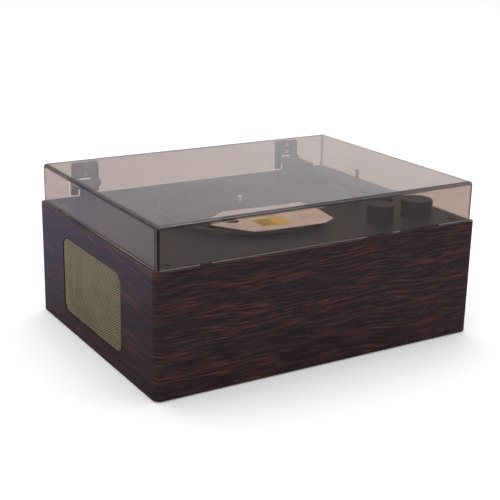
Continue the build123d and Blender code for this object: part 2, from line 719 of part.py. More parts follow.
with BuildPart() as counterweight:
    with BuildSketch(Plane.XZ.offset(-(PIVOT_Y + WEIGHT_BACK))):
        with Locations((PIVOT_X, ARM_Z + 1)):
            RectangleRounded(WEIGHT_W, WEIGHT_H, 1)
    extrude(amount=WEIGHT_L)
save(counterweight, "counterweight")

with BuildPart() as headshell:
    with BuildSketch(level(SHELL_LOW_Z)):
        with Locations((PIVOT_X, SHELL_BACK_Y)):
            Polygon((-5, 0), (-SHELL_W / 2, -6), (-SHELL_W / 2, -SHELL_L), (SHELL_W / 2, -SHELL_L),
                    (SHELL_W / 2, -6), (5, 0), align=None)
    extrude(amount=SHELL_TOP_Z - SHELL_LOW_Z)
    fillet(headshell.edges().filter_by(Axis.Z).sort_by(Axis.Y)[:2], 3)
    fillet(headshell.faces().sort_by(Axis.Z)[-1].edges(), 1.2)
    with BuildSketch(level(SHELL_LOW_Z)):
        with Locations((PIVOT_X, SHELL_BACK_Y - SHELL_L / 2 - 2)):
            Rectangle(SHELL_W - 3, SHELL_L - 10)
    extrude(amount=SHELL_TOP_Z - SHELL_LOW_Z - 1.4, mode=Mode.SUBTRACT)
    with BuildSketch(level(SHELL_TOP_Z - 3.4)):
        with Locations((PIVOT_X - SHELL_W / 2 + 1, SHELL_BACK_Y - SHELL_L + 7)):
            Rectangle(13, 3.4, align=(Align.MAX, Align.CENTER), rotation=35)
    extrude(amount=1.2)
save(headshell, "headshell")

with BuildPart() as cartridge:
    with BuildSketch(level(STYLUS_Z + 2.0)):
        with Locations((PIVOT_X, STYLUS_Y + 3)):
            Rectangle(9.6, 17)
    extrude(amount=SHELL_TOP_Z - 1.4 - STYLUS_Z - 2.0)
    fillet(cartridge.edges().filter_by(Axis.Z), 1)
save(cartridge, "cartridge")

with BuildPart() as stylus:
    with BuildSketch(Plane.YZ.offset(PIVOT_X - 0.8)):
        with BuildLine():
            Polyline((STYLUS_Y + 8, STYLUS_Z + 2), (STYLUS_Y - 1, STYLUS_Z + 1.3), (STYLUS_Y, STYLUS_Z),
                     (STYLUS_Y + 0.9, STYLUS_Z + 0.6), (STYLUS_Y + 11, STYLUS_Z + 1.2),
                     (STYLUS_Y + 11, STYLUS_Z + 2), close=True)
        make_face()
    extrude(amount=1.6)
save(stylus, "stylus")

CLIP_Z = DECK_Z + 22.5
CLIP_PIN_R = 1.0
with BuildPart() as arm_rest:
    with BuildSketch(level(DECK_Z)):
        with Locations(REST):
            RectangleRounded(7, 8, 1.5)
    extrude(amount=ARM_Z - DECK_Z)
    with BuildSketch(Plane.XZ.offset(-(REST[1] + 4))):
        with BuildLine():
            cradle_low = ARM_Z - TUBE_R - 0.3
            Polyline((PIVOT_X - 5.5, cradle_low - 1.5), (REST[0] + 3.5, cradle_low - 1.5),
                     (REST[0] + 3.5, CLIP_Z + 2.5), (REST[0] - 0.5, CLIP_Z + 2.5), (REST[0] - 0.5, ARM_Z + 3),
                     (PIVOT_X + TUBE_R + 0.6, ARM_Z), (PIVOT_X + TUBE_R + 0.4, cradle_low),
                     (PIVOT_X - 5.5, cradle_low), close=True)
        make_face()
    extrude(amount=8)
    with BuildSketch(Plane.XZ.offset(-(REST[1] + 2))):
        with Locations((REST[0] + 1.5, CLIP_Z)):
            Rectangle(8, 12)
    extrude(amount=4, mode=Mode.SUBTRACT)
    with BuildSketch(Plane.XZ.offset(-(REST[1] + 4))):
        with Locations((REST[0] + 1.5, CLIP_Z)):
            Circle(CLIP_PIN_R + RUN)
    extrude(amount=8, mode=Mode.SUBTRACT)
save(arm_rest, "arm_rest")

with BuildPart() as arm_clip:
    with BuildSketch(Plane.XZ.offset(-(REST[1] + 1.7))):
        with BuildLine():
            cx = REST[0] + 1.5
            Polyline((cx - 1.5, CLIP_Z), (cx + 1.5, CLIP_Z), (cx + 1.5, CLIP_Z + 14), (cx - 3.0, CLIP_Z + 14),
                     (cx - 3.0, CLIP_Z + 12.4), (cx - 1.5, CLIP_Z + 12.4), close=True)
        make_face()
        with Locations((REST[0] + 1.5, CLIP_Z)):
            Circle(1.5)
    extrude(amount=3.4)
    with BuildSketch(Plane.XZ.offset(-(REST[1] + 3.8))):
        with Locations((REST[0] + 1.5, CLIP_Z)):
            Circle(CLIP_PIN_R)
    extrude(amount=7.6)
save(arm_clip, "arm_clip")

with BuildPart() as cue_lever:
    with BuildSketch(Plane.YZ.offset(CUE_X - 2.2)):
        with Locations((CUE_Y, CUE_Z)):
            Circle(3.4)
        with BuildLine():
            Polyline((CUE_Y + 1, CUE_Z + 2), (CUE_Y - 22, CUE_Z + 3), (CUE_Y - 26, CUE_Z + 5),
                     (CUE_Y - 27, CUE_Z + 2.6), (CUE_Y - 22, CUE_Z + 0.6), (CUE_Y, CUE_Z - 2), close=True)
        make_face()
    extrude(amount=3)
    with BuildSketch(Plane.YZ.offset(CUE_X - 4.9)):
        with Locations((CUE_Y, CUE_Z)):
            Circle(CUE_PIN_R)
    extrude(amount=2.7)
save(cue_lever, "cue_lever")

LIFT_BAR_Z = ARM_Z - TUBE_R - 0.4
LIFT_BAR_T = 1.8
LIFT_BAR_HALF = 2.0
PLUNGER_REACH = 5.0    # stem below the deck's top
with BuildPart() as cue_lift:
    with BuildSketch(level(LIFT_BAR_Z)):
        with Locations(swing_post):
            Circle(LIFT_R + LIFT_BAR_HALF)
            Circle(LIFT_R - LIFT_BAR_HALF, mode=Mode.SUBTRACT)
            Polygon((0, 0), (7, -45), (-45, -45), (-45, -37), align=None, mode=Mode.INTERSECT)
    extrude(amount=-LIFT_BAR_T)
    with BuildSketch(level(LIFT_BAR_Z)):
        with Locations((LIFT_X, LIFT_Y)):
            Circle(PLUNGER_R)
    extrude(amount=-(LIFT_BAR_Z - DECK_Z + PLUNGER_REACH))
save(cue_lift, "cue_lift")

# ---------------------------------------------------------------- controls
KNOB_LOW_Z = DECK_Z + 1.0
KNOB_TOP_Z = DECK_Z + 21.0
KNOB_HOLE_L = 12.0     # shaft in the knob
SHAFT_DROP = 12.0      # shaft below the deck's top
POT_W = 17.0
POT_H = 9.0
COLLET_H = 5.0


def make_knob(spot, radius, name):
    """Turned knob with a soft top edge, a pointer groove and a blind hole for its shaft."""
    with BuildPart() as knob:
        with BuildSketch(level(KNOB_LOW_Z)):
            with Locations(spot):
                Circle(radius)
        extrude(amount=KNOB_TOP_Z - KNOB_LOW_Z, taper=1.0)
        fillet(knob.faces().sort_by(Axis.Z)[-1].edges(), 1.2)
        with BuildSketch(level(KNOB_TOP_Z)):
            with Locations((spot[0], spot[1] + radius - 5.5)):
                SlotOverall(6, 1.2, rotation=90)
        extrude(amount=-0.5, mode=Mode.SUBTRACT)
        with BuildSketch(level(KNOB_LOW_Z)):
            with Locations(spot):
                Circle(SHAFT_R)
        extrude(amount=KNOB_HOLE_L, mode=Mode.SUBTRACT)
    save(knob, name + "_knob")
    with BuildPart() as shaft:
        with BuildSketch(level(DECK_Z - SHAFT_DROP)):
            with Locations(spot):
                Circle(SHAFT_R)
        extrude(amount=KNOB_LOW_Z - DECK_Z + KNOB_HOLE_L + SHAFT_DROP)
    save(shaft, name + "_shaft")


make_knob(VOLUME, 19.0, "volume")
make_knob(MODE, 16.0, "mode")

with BuildPart() as control_pots:
    with BuildSketch(level(LEDGE_Z)):
        with Locations(VOLUME, MODE):
            Circle(5)
    extrude(amount=-COLLET_H)
    with BuildSketch(level(LEDGE_Z - COLLET_H)):
        with Locations(VOLUME, MODE):
            RectangleRounded(POT_W, POT_W, 2)
    extrude(amount=-POT_H)
    with BuildSketch(level(DECK_Z - SHAFT_DROP - 0.5)):
        with Locations(VOLUME, MODE):
            Circle(SHAFT_R + RUN)
    extrude(amount=SHAFT_DROP, mode=Mode.SUBTRACT)
save(control_pots, "control_pots")

with BuildPart() as slide_switches:
    for spot in (SPEED, AUTO):
        with BuildSketch(level(LEDGE_Z)):
            with Locations(spot):
                Rectangle(9, 22)
        extrude(amount=-8)
    with BuildSketch(level(LEDGE_Z)):
        with Locations(SPEED):
            Rectangle(SLOT_W, SPEED_TRAVEL + BUTTON_L - 1)
        with Locations(AUTO):
            Rectangle(SLOT_W, AUTO_TRAVEL + BUTTON_L - 1)
    extrude(amount=-5, mode=Mode.SUBTRACT)
save(slide_switches, "slide_switches")


def make_slider(spot, travel, label):
    """Switch button at the front end of its slot."""
    y = spot[1] - travel / 2
    with BuildPart() as slider:
        with BuildSketch(level(DECK_Z + 0.2)):
            with Locations((spot[0], y)):
                Rectangle(6, BUTTON_L)
        extrude(amount=2.6)
        chamfer(slider.faces().sort_by(Axis.Z)[-1].edges(), 0.6)
        with BuildSketch(level(DECK_Z + 0.2)):
            with Locations((spot[0], y)):
                Rectangle(SLOT_W - 0.3, BUTTON_L - 1.4)
        extrude(amount=-6)
    save(slider, label)


make_slider(SPEED, SPEED_TRAVEL, "speed_slider")
make_slider(AUTO, AUTO_TRAVEL, "autostop_slider")

# ---------------------------------------------------------------- dust cover and hinges
LID_W = W - 2 * LID_INSET
LID_D = D - 2 * LID_INSET
LID_LOW_Z = DECK_Z + LID_GAP
LID_R = 3.0
LEAF_W = 35.0
SLOT_HALF = 8.0
LEAF_TOP_Z = DECK_Z + 42.0
LEAF_SCREW_Z = (DECK_Z + 27.0, DECK_Z + 36.0)
WALL_IN_Y = D / 2 - LID_INSET - LID_T

with BuildPart() as dust_cover:
    with BuildSketch(level(LID_LOW_Z)):
        RectangleRounded(LID_W, LID_D, LID_R)
    extrude(amount=LID_TOP_Z - LID_LOW_Z)
    fillet(dust_cover.faces().sort_by(Axis.Z)[-1].edges(), 2.9)
    with BuildSketch(level(LID_LOW_Z)):
        RectangleRounded(LID_W - 2 * LID_T, LID_D - 2 * LID_T, 1.5)
    extrude(amount=LID_TOP_Z - LID_LOW_Z - LID_T, mode=Mode.SUBTRACT)
    with BuildSketch(level(LID_LOW_Z)):
        with Locations((0, HINGE_Y - 1)):
            Rectangle(W, 20, align=(Align.CENTER, Align.MIN))
    extrude(amount=DECK_Z + 2.3 - LID_LOW_Z, mode=Mode.SUBTRACT)
    for x in HINGE_XS:
        with BuildSketch(level(LID_LOW_Z)):
            with Locations((x, WALL_IN_Y - 0.2)):
                Rectangle(LEAF_W + 2, 4, align=(Align.CENTER, Align.MIN))
        extrude(amount=HINGE_Z + 6 - LID_LOW_Z, mode=Mode.SUBTRACT)
        with BuildSketch(Plane.XZ.offset(-(WALL_IN_Y + LID_T))):
            with Locations(*[(x, z) for z in LEAF_SCREW_Z]):
                Circle(SCREW_R + 0.05)
        extrude(amount=LID_T, mode=Mode.SUBTRACT)
save(dust_cover, "dust_cover")

LEAF_T = 3.0
HINGE_PIN_R = 1.5
BASE_W = 13.0

with BuildPart() as hinge_leaves:
    for x in HINGE_XS:
        with BuildSketch(Plane.XZ.offset(-WALL_IN_Y)):
            with Locations((x, DECK_Z + 3.6)):
                Rectangle(LEAF_W, LEAF_TOP_Z - DECK_Z - 3.6, align=(Align.CENTER, Align.MIN))
        extrude(amount=LEAF_T)
        with BuildSketch(Plane.YZ.offset(x - LEAF_W / 2)):
            with Locations((HINGE_Y, HINGE_Z)):
                Circle(HINGE_R)
                Rectangle(HINGE_R, 2 * HINGE_R, align=(Align.MIN, Align.CENTER))
        extrude(amount=LEAF_W)
        with BuildSketch(Plane.XZ.offset(-WALL_IN_Y)):
            with Locations((x, DECK_Z)):
                Rectangle(2 * SLOT_HALF, HINGE_Z + 5.8 - DECK_Z, align=(Align.CENTER, Align.MIN))
        extrude(amount=4 * HINGE_R, mode=Mode.SUBTRACT)
        with BuildSketch(Plane.YZ.offset(x - LEAF_W / 2)):
            with Locations((HINGE_Y, HINGE_Z)):
                Circle(HINGE_PIN_R)
        extrude(amount=LEAF_W, mode=Mode.SUBTRACT)
        with BuildSketch(Plane.XZ.offset(-WALL_IN_Y)):
            with Locations(*[(x, z) for z in LEAF_SCREW_Z]):
                Circle(SCREW_R + 0.05)
        extrude(amount=LEAF_T, mode=Mode.SUBTRACT)
    leaf_corners = hinge_leaves.edges().filter_by(Axis.Y)
    fillet(leaf_corners.filter_by_position(Axis.Z, LEAF_TOP_Z - 0.1, LEAF_TOP_Z + 0.1), 4)
    with BuildSketch(Plane.XZ.offset(-(WALL_IN_Y - LEAF_T))):
        with Locations(*[(x, LEAF_TOP_Z - 10) for x in HINGE_XS]):
            RectangleRounded(LEAF_W - 6, 13, 2)
            RectangleRounded(LEAF_W - 8, 11, 1, mode=Mode.SUBTRACT)
    extrude(amount=-0.6, mode=Mode.SUBTRACT)
save(hinge_leaves, "hinge_leaves")

with BuildPart() as hinge_bases:
    for x in HINGE_XS:
        with BuildSketch(level(DECK_Z)):
            with Locations((x, HINGE_Y)):
                Rectangle(34, 10)
        extrude(amount=2)
        with BuildSketch(Plane.YZ.offset(x - BASE_W / 2)):
            with Locations((HINGE_Y, HINGE_Z)):
                Circle(HINGE_R - 0.2)
            with Locations((HINGE_Y - 1, DECK_Z)):
                Rectangle(7, HINGE_Z - DECK_Z, align=(Align.CENTER, Align.MIN))
        extrude(amount=BASE_W)
        with BuildSketch(Plane.YZ.offset(x - BASE_W / 2)):
            with Locations((HINGE_Y, HINGE_Z)):
                Circle(HINGE_PIN_R + RUN)
        extrude(amount=BASE_W, mode=Mode.SUBTRACT)
save(hinge_bases, "hinge_bases")

with BuildPart() as hinge_pins:
    for x in HINGE_XS:
        with BuildSketch(Plane.YZ.offset(x - LEAF_W / 2)):
            with Locations((HINGE_Y, HINGE_Z)):
                Circle(HINGE_PIN_R)
        extrude(amount=LEAF_W)
save(hinge_pins, "hinge_pins")

with BuildPart() as leaf_screws:
    spots = [(x, z) for x in HINGE_XS for z in LEAF_SCREW_Z]
    with BuildSketch(Plane.XZ.offset(-(WALL_IN_Y - LEAF_T))):
        with Locations(*spots):
            Circle(2.8)
    extrude(amount=1.2)
    with BuildSketch(Plane.XZ.offset(-(WALL_IN_Y - LEAF_T))):
        with Locations(*spots):
            Circle(SCREW_R)
    extrude(amount=-(LEAF_T + LID_T - 0.1))
save(leaf_screws, "leaf_screws")

with BuildPart() as lid_bumpers:
    with BuildSketch(level(DECK_Z)):
        with Locations(*[(x, -(LID_D - LID_T) / 2) for x in (-150, 150)]):
            Rectangle(14, LID_T - 0.4)
        with Locations(*[(x, 100) for x in (-(LID_W - LID_T) / 2, (LID_W - LID_T) / 2)]):
            Rectangle(LID_T - 0.4, 14)
    extrude(amount=LID_GAP)
save(lid_bumpers, "lid_bumpers")

# ---------------------------------------------------------------- electronics at the back
RCA_X = (JACKS_X - 30, JACKS_X - 12)
AUX_X = JACKS_X + 12
DC_X = JACKS_X + 32
RCA_R = 4.1
RCA_BORE_R = 1.65
AUX_R = 3.1
AUX_BORE_R = 1.8
AUX_L = 14.0
DC_R = 4.1
DC_BORE_R = 2.8
DC_PIN_R = 1.05
SOCKET_L = 9.0         # open depth behind the plate
PLATE_IN_Y = BACK_Y - PLATE_T

with BuildPart() as jack_plate:
    with BuildSketch(Plane.XZ.offset(-BACK_Y)):
        with Locations((JACKS_X, JACKS_Z)):
            RectangleRounded(JACKS_W, JACKS_H, JACKS_R)
        with Locations(*[(x, JACKS_Z) for x in RCA_X]):
            Circle(RCA_R + 0.1, mode=Mode.SUBTRACT)
        with Locations((AUX_X, JACKS_Z)):
            Circle(AUX_R + 0.1, mode=Mode.SUBTRACT)
        with Locations((DC_X, JACKS_Z)):
            Circle(DC_R + 0.1, mode=Mode.SUBTRACT)
        with Locations(*PLATE_SCREWS):
            Circle(CLEAR_R, mode=Mode.SUBTRACT)
    extrude(amount=PLATE_T)
    with BuildSketch(Plane.XZ.offset(-BACK_Y)):
        with Locations(*PLATE_SCREWS):
            Circle(PLATE_HEAD_R + 0.1)
    extrude(amount=PLATE_HEAD_T, mode=Mode.SUBTRACT)
save(jack_plate, "jack_plate")

with BuildPart() as rca_jacks:
    with BuildSketch(Plane.XZ.offset(-(BACK_Y - 0.1))):
        with Locations(*[(x, JACKS_Z) for x in RCA_X]):
            Circle(RCA_R)
            Circle(RCA_BORE_R, mode=Mode.SUBTRACT)
    extrude(amount=PLATE_T + 0.1)
    with BuildSketch(Plane.XZ.offset(-PLATE_IN_Y)):
        with Locations(*[(x, JACKS_Z) for x in RCA_X]):
            Rectangle(12, 14)
            Circle(RCA_BORE_R, mode=Mode.SUBTRACT)
    extrude(amount=SOCKET_L)
    with BuildSketch(Plane.XZ.offset(-(PLATE_IN_Y - SOCKET_L))):
        with Locations(*[(x, JACKS_Z) for x in RCA_X]):
            Rectangle(12, 14)
    extrude(amount=2)
save(rca_jacks, "rca_jacks")

with BuildPart() as aux_jack:
    with BuildSketch(Plane.XZ.offset(-(BACK_Y - 0.1))):
        with Locations((AUX_X, JACKS_Z)):
            Circle(AUX_R)
            Circle(AUX_BORE_R, mode=Mode.SUBTRACT)
    extrude(amount=PLATE_T + 0.1)
    with BuildSketch(Plane.XZ.offset(-PLATE_IN_Y)):
        with Locations((AUX_X, JACKS_Z)):
            Rectangle(9, 10)
            Circle(AUX_BORE_R, mode=Mode.SUBTRACT)
    extrude(amount=AUX_L)
save(aux_jack, "aux_jack")

with BuildPart() as dc_jack:
    with BuildSketch(Plane.XZ.offset(-(BACK_Y - 0.1))):
        with Locations((DC_X, JACKS_Z)):
            Circle(DC_R)
            Circle(DC_BORE_R, mode=Mode.SUBTRACT)
    extrude(amount=PLATE_T + 0.1)
    with BuildSketch(Plane.XZ.offset(-PLATE_IN_Y)):
        with Locations((DC_X, JACKS_Z)):
            Rectangle(11, 12)
            Circle(DC_BORE_R, mode=Mode.SUBTRACT)
    extrude(amount=SOCKET_L)
    with BuildSketch(Plane.XZ.offset(-(PLATE_IN_Y - SOCKET_L))):
        with Locations((DC_X, JACKS_Z)):
            Rectangle(11, 12)
    extrude(amount=3)
    with BuildSketch(Plane.XZ.offset(-(PLATE_IN_Y - SOCKET_L))):
        with Locations((DC_X, JACKS_Z)):
            Circle(DC_PIN_R)
    extrude(amount=-SOCKET_L)
save(dc_jack, "dc_jack")

BOARD_Z = BOTTOM_TOP_Z + 6.0
BOARD_Y = 88.0
BOARD_T = 1.6
with BuildPart() as main_board:
    with BuildSketch(level(BOARD_Z)):
        with Locations((JACKS_X, BOARD_Y)):
            Rectangle(100, 70)
    extrude(amount=BOARD_T)
    with BuildSketch(level(BOARD_Z)):
        with Locations(*[(JACKS_X + x, BOARD_Y + y) for x, y in corner_points(44, 29)]):
            Circle(3)
    extrude(amount=BOTTOM_TOP_Z - BOARD_Z)
    with BuildSketch(level(BOARD_Z + BOARD_T)):
        with Locations((JACKS_X - 24, 78)):
            Rectangle(16, 12)
        with Locations((JACKS_X + 8, 92), (JACKS_X + 24, 92)):
            Circle(5)
        with Locations((JACKS_X + 24, 68)):
            Rectangle(20, 8)
    extrude(amount=9)
save(main_board, "main_board")

print(len(made), "nodes")
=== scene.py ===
import json
import math

import bmesh
import bpy
from bpy.props import FloatProperty, FloatVectorProperty, IntProperty, PointerProperty
from mathutils import Matrix, Quaternion, Vector


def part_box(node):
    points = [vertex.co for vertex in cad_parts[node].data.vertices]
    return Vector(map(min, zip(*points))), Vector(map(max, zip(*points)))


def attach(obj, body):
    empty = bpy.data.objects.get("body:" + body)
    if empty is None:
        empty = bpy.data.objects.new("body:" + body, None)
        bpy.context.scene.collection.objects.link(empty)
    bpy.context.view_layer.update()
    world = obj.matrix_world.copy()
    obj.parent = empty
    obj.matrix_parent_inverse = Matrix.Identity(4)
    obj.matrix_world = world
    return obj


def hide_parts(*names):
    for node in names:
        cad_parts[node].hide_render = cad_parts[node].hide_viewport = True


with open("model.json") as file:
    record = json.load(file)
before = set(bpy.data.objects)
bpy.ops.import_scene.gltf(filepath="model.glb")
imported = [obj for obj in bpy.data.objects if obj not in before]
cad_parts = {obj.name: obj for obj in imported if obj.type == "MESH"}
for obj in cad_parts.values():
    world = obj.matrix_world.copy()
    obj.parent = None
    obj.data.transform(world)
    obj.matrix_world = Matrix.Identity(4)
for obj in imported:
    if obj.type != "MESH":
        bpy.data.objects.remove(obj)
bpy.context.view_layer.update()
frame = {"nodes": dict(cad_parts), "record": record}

bl_info = {
    "name": "Record player finish",
    "version": (1, 0, 0),
    "blender": (4, 5, 0),
    "location": "3D View > Sidebar > Record player",
    "description": "Makes the visible pieces and finishes of a boxed record player",
    "category": "Object",
}

MM = 0.001

# ---------------------------------------------------------------- sizes and places
DECK_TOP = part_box("deck_plate")[1].z
PLATTER_AXIS = sum(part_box("spindle"), Vector()) / 2
NOTHING = 1e-7           # distance under which two points are one

GRILLE_CORNER = 12.0 * MM
CORNER_LINES = 8         # tangent lines round a quarter turn

COVER_WALL = 2.5 * MM
COVER_TOP_R = 4.5 * MM
COVER_CORNER_R = 5.0 * MM
PAINTED_SHADE_START = 5.0 * MM    # where the painted edge shade on the cover's tint starts, in from an edge
PAINTED_SHADE_FULL = 2.0 * MM
HINGE_XS = (-0.153, 0.142)
NOTCH_HALF = 18.5 * MM
NOTCH_TOP = 22.0 * MM    # hinge notch, above the deck
BACK_GAP = 2.3 * MM      # under the cover's back wall, above the deck

CARD_PLACE = (-19.0 * MM, -60.0 * MM)
CARD_TURN = math.radians(-4.0)
CARD_OUTLINE = ((64, 40), (-38, 40), (-73, 6), (-73, -8), (-37, -41), (52, -41), (69, -31), (72, 6))
CARD_HALF = 73 * MM
CARD_HOLE = (-44.0 * MM, 7.0 * MM, 10.0 * MM)    # place and radius
CARD_BLANK = 200 * MM    # radius of the sheet that the card is cut from
CARD_SLICES = 24
SLICED_WIDTH = 150 * MM
CARD_THICK = 0.5 * MM
LABEL_PLACE = (-2.0 * MM, -13.0 * MM)
LABEL_SIZE = (38 * MM, 30 * MM)
LABEL_THICK = 0.12 * MM
LABEL_COLUMN = 5.0 * MM
PRINT_SHIFT = 8.0 * MM   # from the label's middle to the middle of its strokes
PRINT_HALF = (10.0 * MM, 12.5 * MM)
PRINT_FADE = (0.2 * MM, 0.3 * MM)

MAT_BORE = 4.0 * MM      # radii of the platter mat
MAT_WELL = 48.0 * MM
MAT_RINGS = 51.0 * MM
MAT_SINK = 0.5 * MM
MAT_GROOVE = 0.25 * MM

BOARD_SKIN = 7.7 * MM    # just over the bare circuit board's top, above the feet of its legs


# ---------------------------------------------------------------- properties
def colour(name, description, default):
    """A base colour that a user may change."""
    return FloatVectorProperty(
        name=name, description=description, subtype="COLOR", size=3,
        min=0.0, max=1.0, default=default,
    )


def length(name, description, default):
    """A length that a user may change."""
    return FloatProperty(name=name, description=description, unit="LENGTH", min=0.0, default=default)


class PlayerColours(bpy.types.PropertyGroup):
    """Base colours of the player's finishes."""

    veneer_dark: colour("Veneer ground", "Dark ground of the veneer", (0.0200, 0.0082, 0.0080))
    veneer_red: colour("Veneer figure", "Red-brown streaks of the veneer", (0.122, 0.0300, 0.0190))
    board: colour("Board", "Bare fibreboard", (0.42, 0.30, 0.19))
    deck: colour("Deck", "Moulded deck and tonearm", (0.017, 0.018, 0.029))
    knob: colour("Knobs", "Moulded knobs, sliders and levers", (0.006, 0.007, 0.013))
    black: colour("Black plastic", "Sockets, cartridge and switches", (0.012, 0.012, 0.013))
    acrylic: colour("Cover", "Tint of one wall of the dust cover", (0.61, 0.53, 0.49))
    gold: colour("Grilles", "Gold finish of the perforated sheets", (0.78, 0.69, 0.42))
    platter: colour("Platter", "Turned aluminium of the platter", (0.16, 0.16, 0.17))
    rubber: colour("Rubber", "Mat, belt and feet", (0.014, 0.014, 0.015))
    steel: colour("Steel", "Zinc-plated steel", (0.52, 0.53, 0.55))
    brass: colour("Brass", "Turned brass", (0.62, 0.44, 0.18))
    cone: colour("Cone", "Pressed paper of the speaker cones", (0.018, 0.017, 0.017))
    circuit: colour("Circuit board", "Solder mask", (0.02, 0.12, 0.05))
    card: colour("Card", "Uncoated card", (0.80, 0.73, 0.68))
    label: colour("Label", "Printed paper label", (0.84, 0.64, 0.09))
    floor: colour("Floor", "Pale studio floor", (0.92, 0.92, 0.92))


class PlayerSizes(bpy.types.PropertyGroup):
    """Sizes of the details that are added to the frame."""

    hole_pitch: length("Hole pitch", "Distance between neighbouring grille holes", 3.0 * MM)
    hole_size: length("Hole size", "Diameter of a grille hole", 2.5 * MM)
    sheet: length("Sheet", "Thickness of a grille", 0.3 * MM)
    grooves: IntProperty(name="Grooves", description="Rings in the platter mat", min=4, default=22)
    curl: length("Curl", "How far the card's ends lift off the mat", 3.0 * MM)


def look():
    """The colours in use."""
    return bpy.context.scene.player_colours


def sizes():
    """The sizes in use."""
    return bpy.context.scene.player_sizes


# ---------------------------------------------------------------- material recipes
class Value:
    """An output socket, on which ordinary arithmetic adds Math nodes."""

    def __init__(self, recipe, socket):
        self.recipe = recipe
        self.socket = socket

    def maths(self, operation, *terms):
        return self.recipe.node("ShaderNodeMath", {"operation": operation}, dict(enumerate(terms)))

    def __add__(self, other):
        return self.maths("ADD", self, other)

    def __sub__(self, other):
        return self.maths("SUBTRACT", self, other)

    def __rsub__(self, other):
        return self.maths("SUBTRACT", other, self)

    def __mul__(self, other):
        return self.maths("MULTIPLY", self, other)

    def __truediv__(self, other):
        return self.maths("DIVIDE", self, other)

    def __pow__(self, other):
        return self.maths("POWER", self, other)

    def __abs__(self):
        return self.maths("ABSOLUTE", self)

    __radd__ = __add__
    __rmul__ = __mul__

    def put(self, operation):
        """A Math node of one term, such as SINE or FLOOR."""
        return self.maths(operation, self)

    def above(self, limit):
        """1 where this is more than limit, else 0."""
        return self.maths("GREATER_THAN", self, limit)

    def rise(self, low, high):
        """0 below low, 1 above high, and a smooth step between."""
        limits = {"Value": self, "From Min": low, "From Max": high}
        return self.recipe.node("ShaderNodeMapRange", {"interpolation_type": "SMOOTHSTEP"}, limits)


class Recipe:
    """One material and the nodes that make it."""

    def __init__(self, owner):
        owner.use_nodes = True
        self.material = owner
        self.tree = owner.node_tree
        self.tree.nodes.clear()
        self.place = self.node("ShaderNodeTexCoord", out="Object")

    def node(self, kind, settings=None, sockets=None, out=0):
        """Any node: its settings first, then a value or a link for each socket."""
        made = self.tree.nodes.new(kind)
        for name, value in (settings or {}).items():
            setattr(made, name, value)
        for name, value in (sockets or {}).items():
            if isinstance(value, Value):
                self.tree.links.new(value.socket, made.inputs[name])
            else:
                made.inputs[name].default_value = value
        return Value(self, made.outputs[out])

    def axes(self, vector=None):
        """The x, y and z of a vector, or of the place on the piece."""
        split = self.node("ShaderNodeSeparateXYZ", None, {0: vector or self.place})
        return [Value(self, socket) for socket in split.socket.node.outputs]

    def vector(self, x, y, z):
        return self.node("ShaderNodeCombineXYZ", None, {0: x, 1: y, 2: z})

    def noise(self, vector, scale, detail=2.0, roughness=0.5):
        sockets = {"Vector": vector, "Scale": scale, "Detail": detail, "Roughness": roughness}
        return self.node("ShaderNodeTexNoise", None, sockets)

    def mix(self, factor, first, second):
        """A colour between two."""
        first, second = (c if isinstance(c, Value) else (*c, 1.0) for c in (first, second))
        return self.node("ShaderNodeMix", {"data_type": "RGBA"}, {0: factor, 6: first, 7: second}, out=2)

    def bump(self, height, distance, strength=1.0):
        """A Normal from a height between 0 and 1, which stands for a depth in metres."""
        sockets = {"Height": height, "Distance": distance, "Strength": strength}
        return self.node("ShaderNodeBump", None, sockets)

    def radius(self, centre):
        """Distance from an upright axis."""
        x, y, _ = self.axes()
        return ((x - centre[0]) ** 2.0 + (y - centre[1]) ** 2.0) ** 0.5

    def shader(self, sockets):
        """The Principled shader."""
        return self.node("ShaderNodeBsdfPrincipled", None, sockets)

    def finish(self, surface):
        """Sends a shader, or the sockets of a Principled shader, to the output."""
        if isinstance(surface, dict):
            surface = self.shader(surface)
        output = self.tree.nodes.new("ShaderNodeOutputMaterial")
        self.tree.links.new(surface.socket, output.inputs["Surface"])
        return self.material


made_materials = {}


def material(name):
    """A material by its finish's name, made the first time it is asked for."""
    if name not in made_materials:
        made_materials[name] = FINISHES[name](Recipe(bpy.data.materials.new(name)))
    return made_materials[name]


# ---------------------------------------------------------------- finishes
PORE = 6000.0            # noise scale of the finest grain, per metre


def shade(base, factor):
    """A base colour made paler or darker."""
    return tuple(min(1.0, factor * c) for c in base)


def veneer(r):
    """Dark rosewood-look veneer: the grain runs level, round the corners."""
    x, y, z = r.axes()
    along = x - y
    drift = r.noise(r.vector(along * 6.0, 0.0, z * 9.0), 1.0, 2.0, 0.5) - 0.5
    height = z + drift * 0.024
    bands = r.noise(r.vector(along * 5.0, 3.0, height * 60.0), 1.0, 3.0, 0.6)
    flames = r.noise(r.vector(along * 22.0, 7.0, height * 390.0), 1.0, 4.0, 0.68)
    lines = r.noise(r.vector(along * 50.0, 1.0, height * 1300.0), 1.0, 3.0, 0.6)
    streaks = (flames * 0.72 + lines * 0.28).rise(0.44, 0.68)
    red = streaks * (0.24 + bands.rise(0.34, 0.60) * 0.76)
    dark = shade(look().veneer_dark, 0.55)
    ground = r.mix((flames * 0.5 + lines * 0.5).rise(0.40, 0.60), dark, look().veneer_dark)
    tint = r.mix(red, ground, look().veneer_red)
    pores = r.noise(r.vector(along * 190.0, 5.0, height * 2400.0), 1.0, 2.0)
    tint = r.mix(pores.rise(0.62, 0.74) * 0.6, tint, dark)
    normal = r.bump(lines * 0.6 + pores * 0.4, 0.00005, 0.5)
    gloss = 0.38 + lines * 0.16
    return r.finish({
        "Base Color": tint, "Roughness": gloss, "Normal": normal, "Specular IOR Level": 0.42,
        "Coat Weight": 0.5, "Coat Roughness": 0.22, "Coat Tint": (0.86, 0.86, 1.0, 1.0),
    })


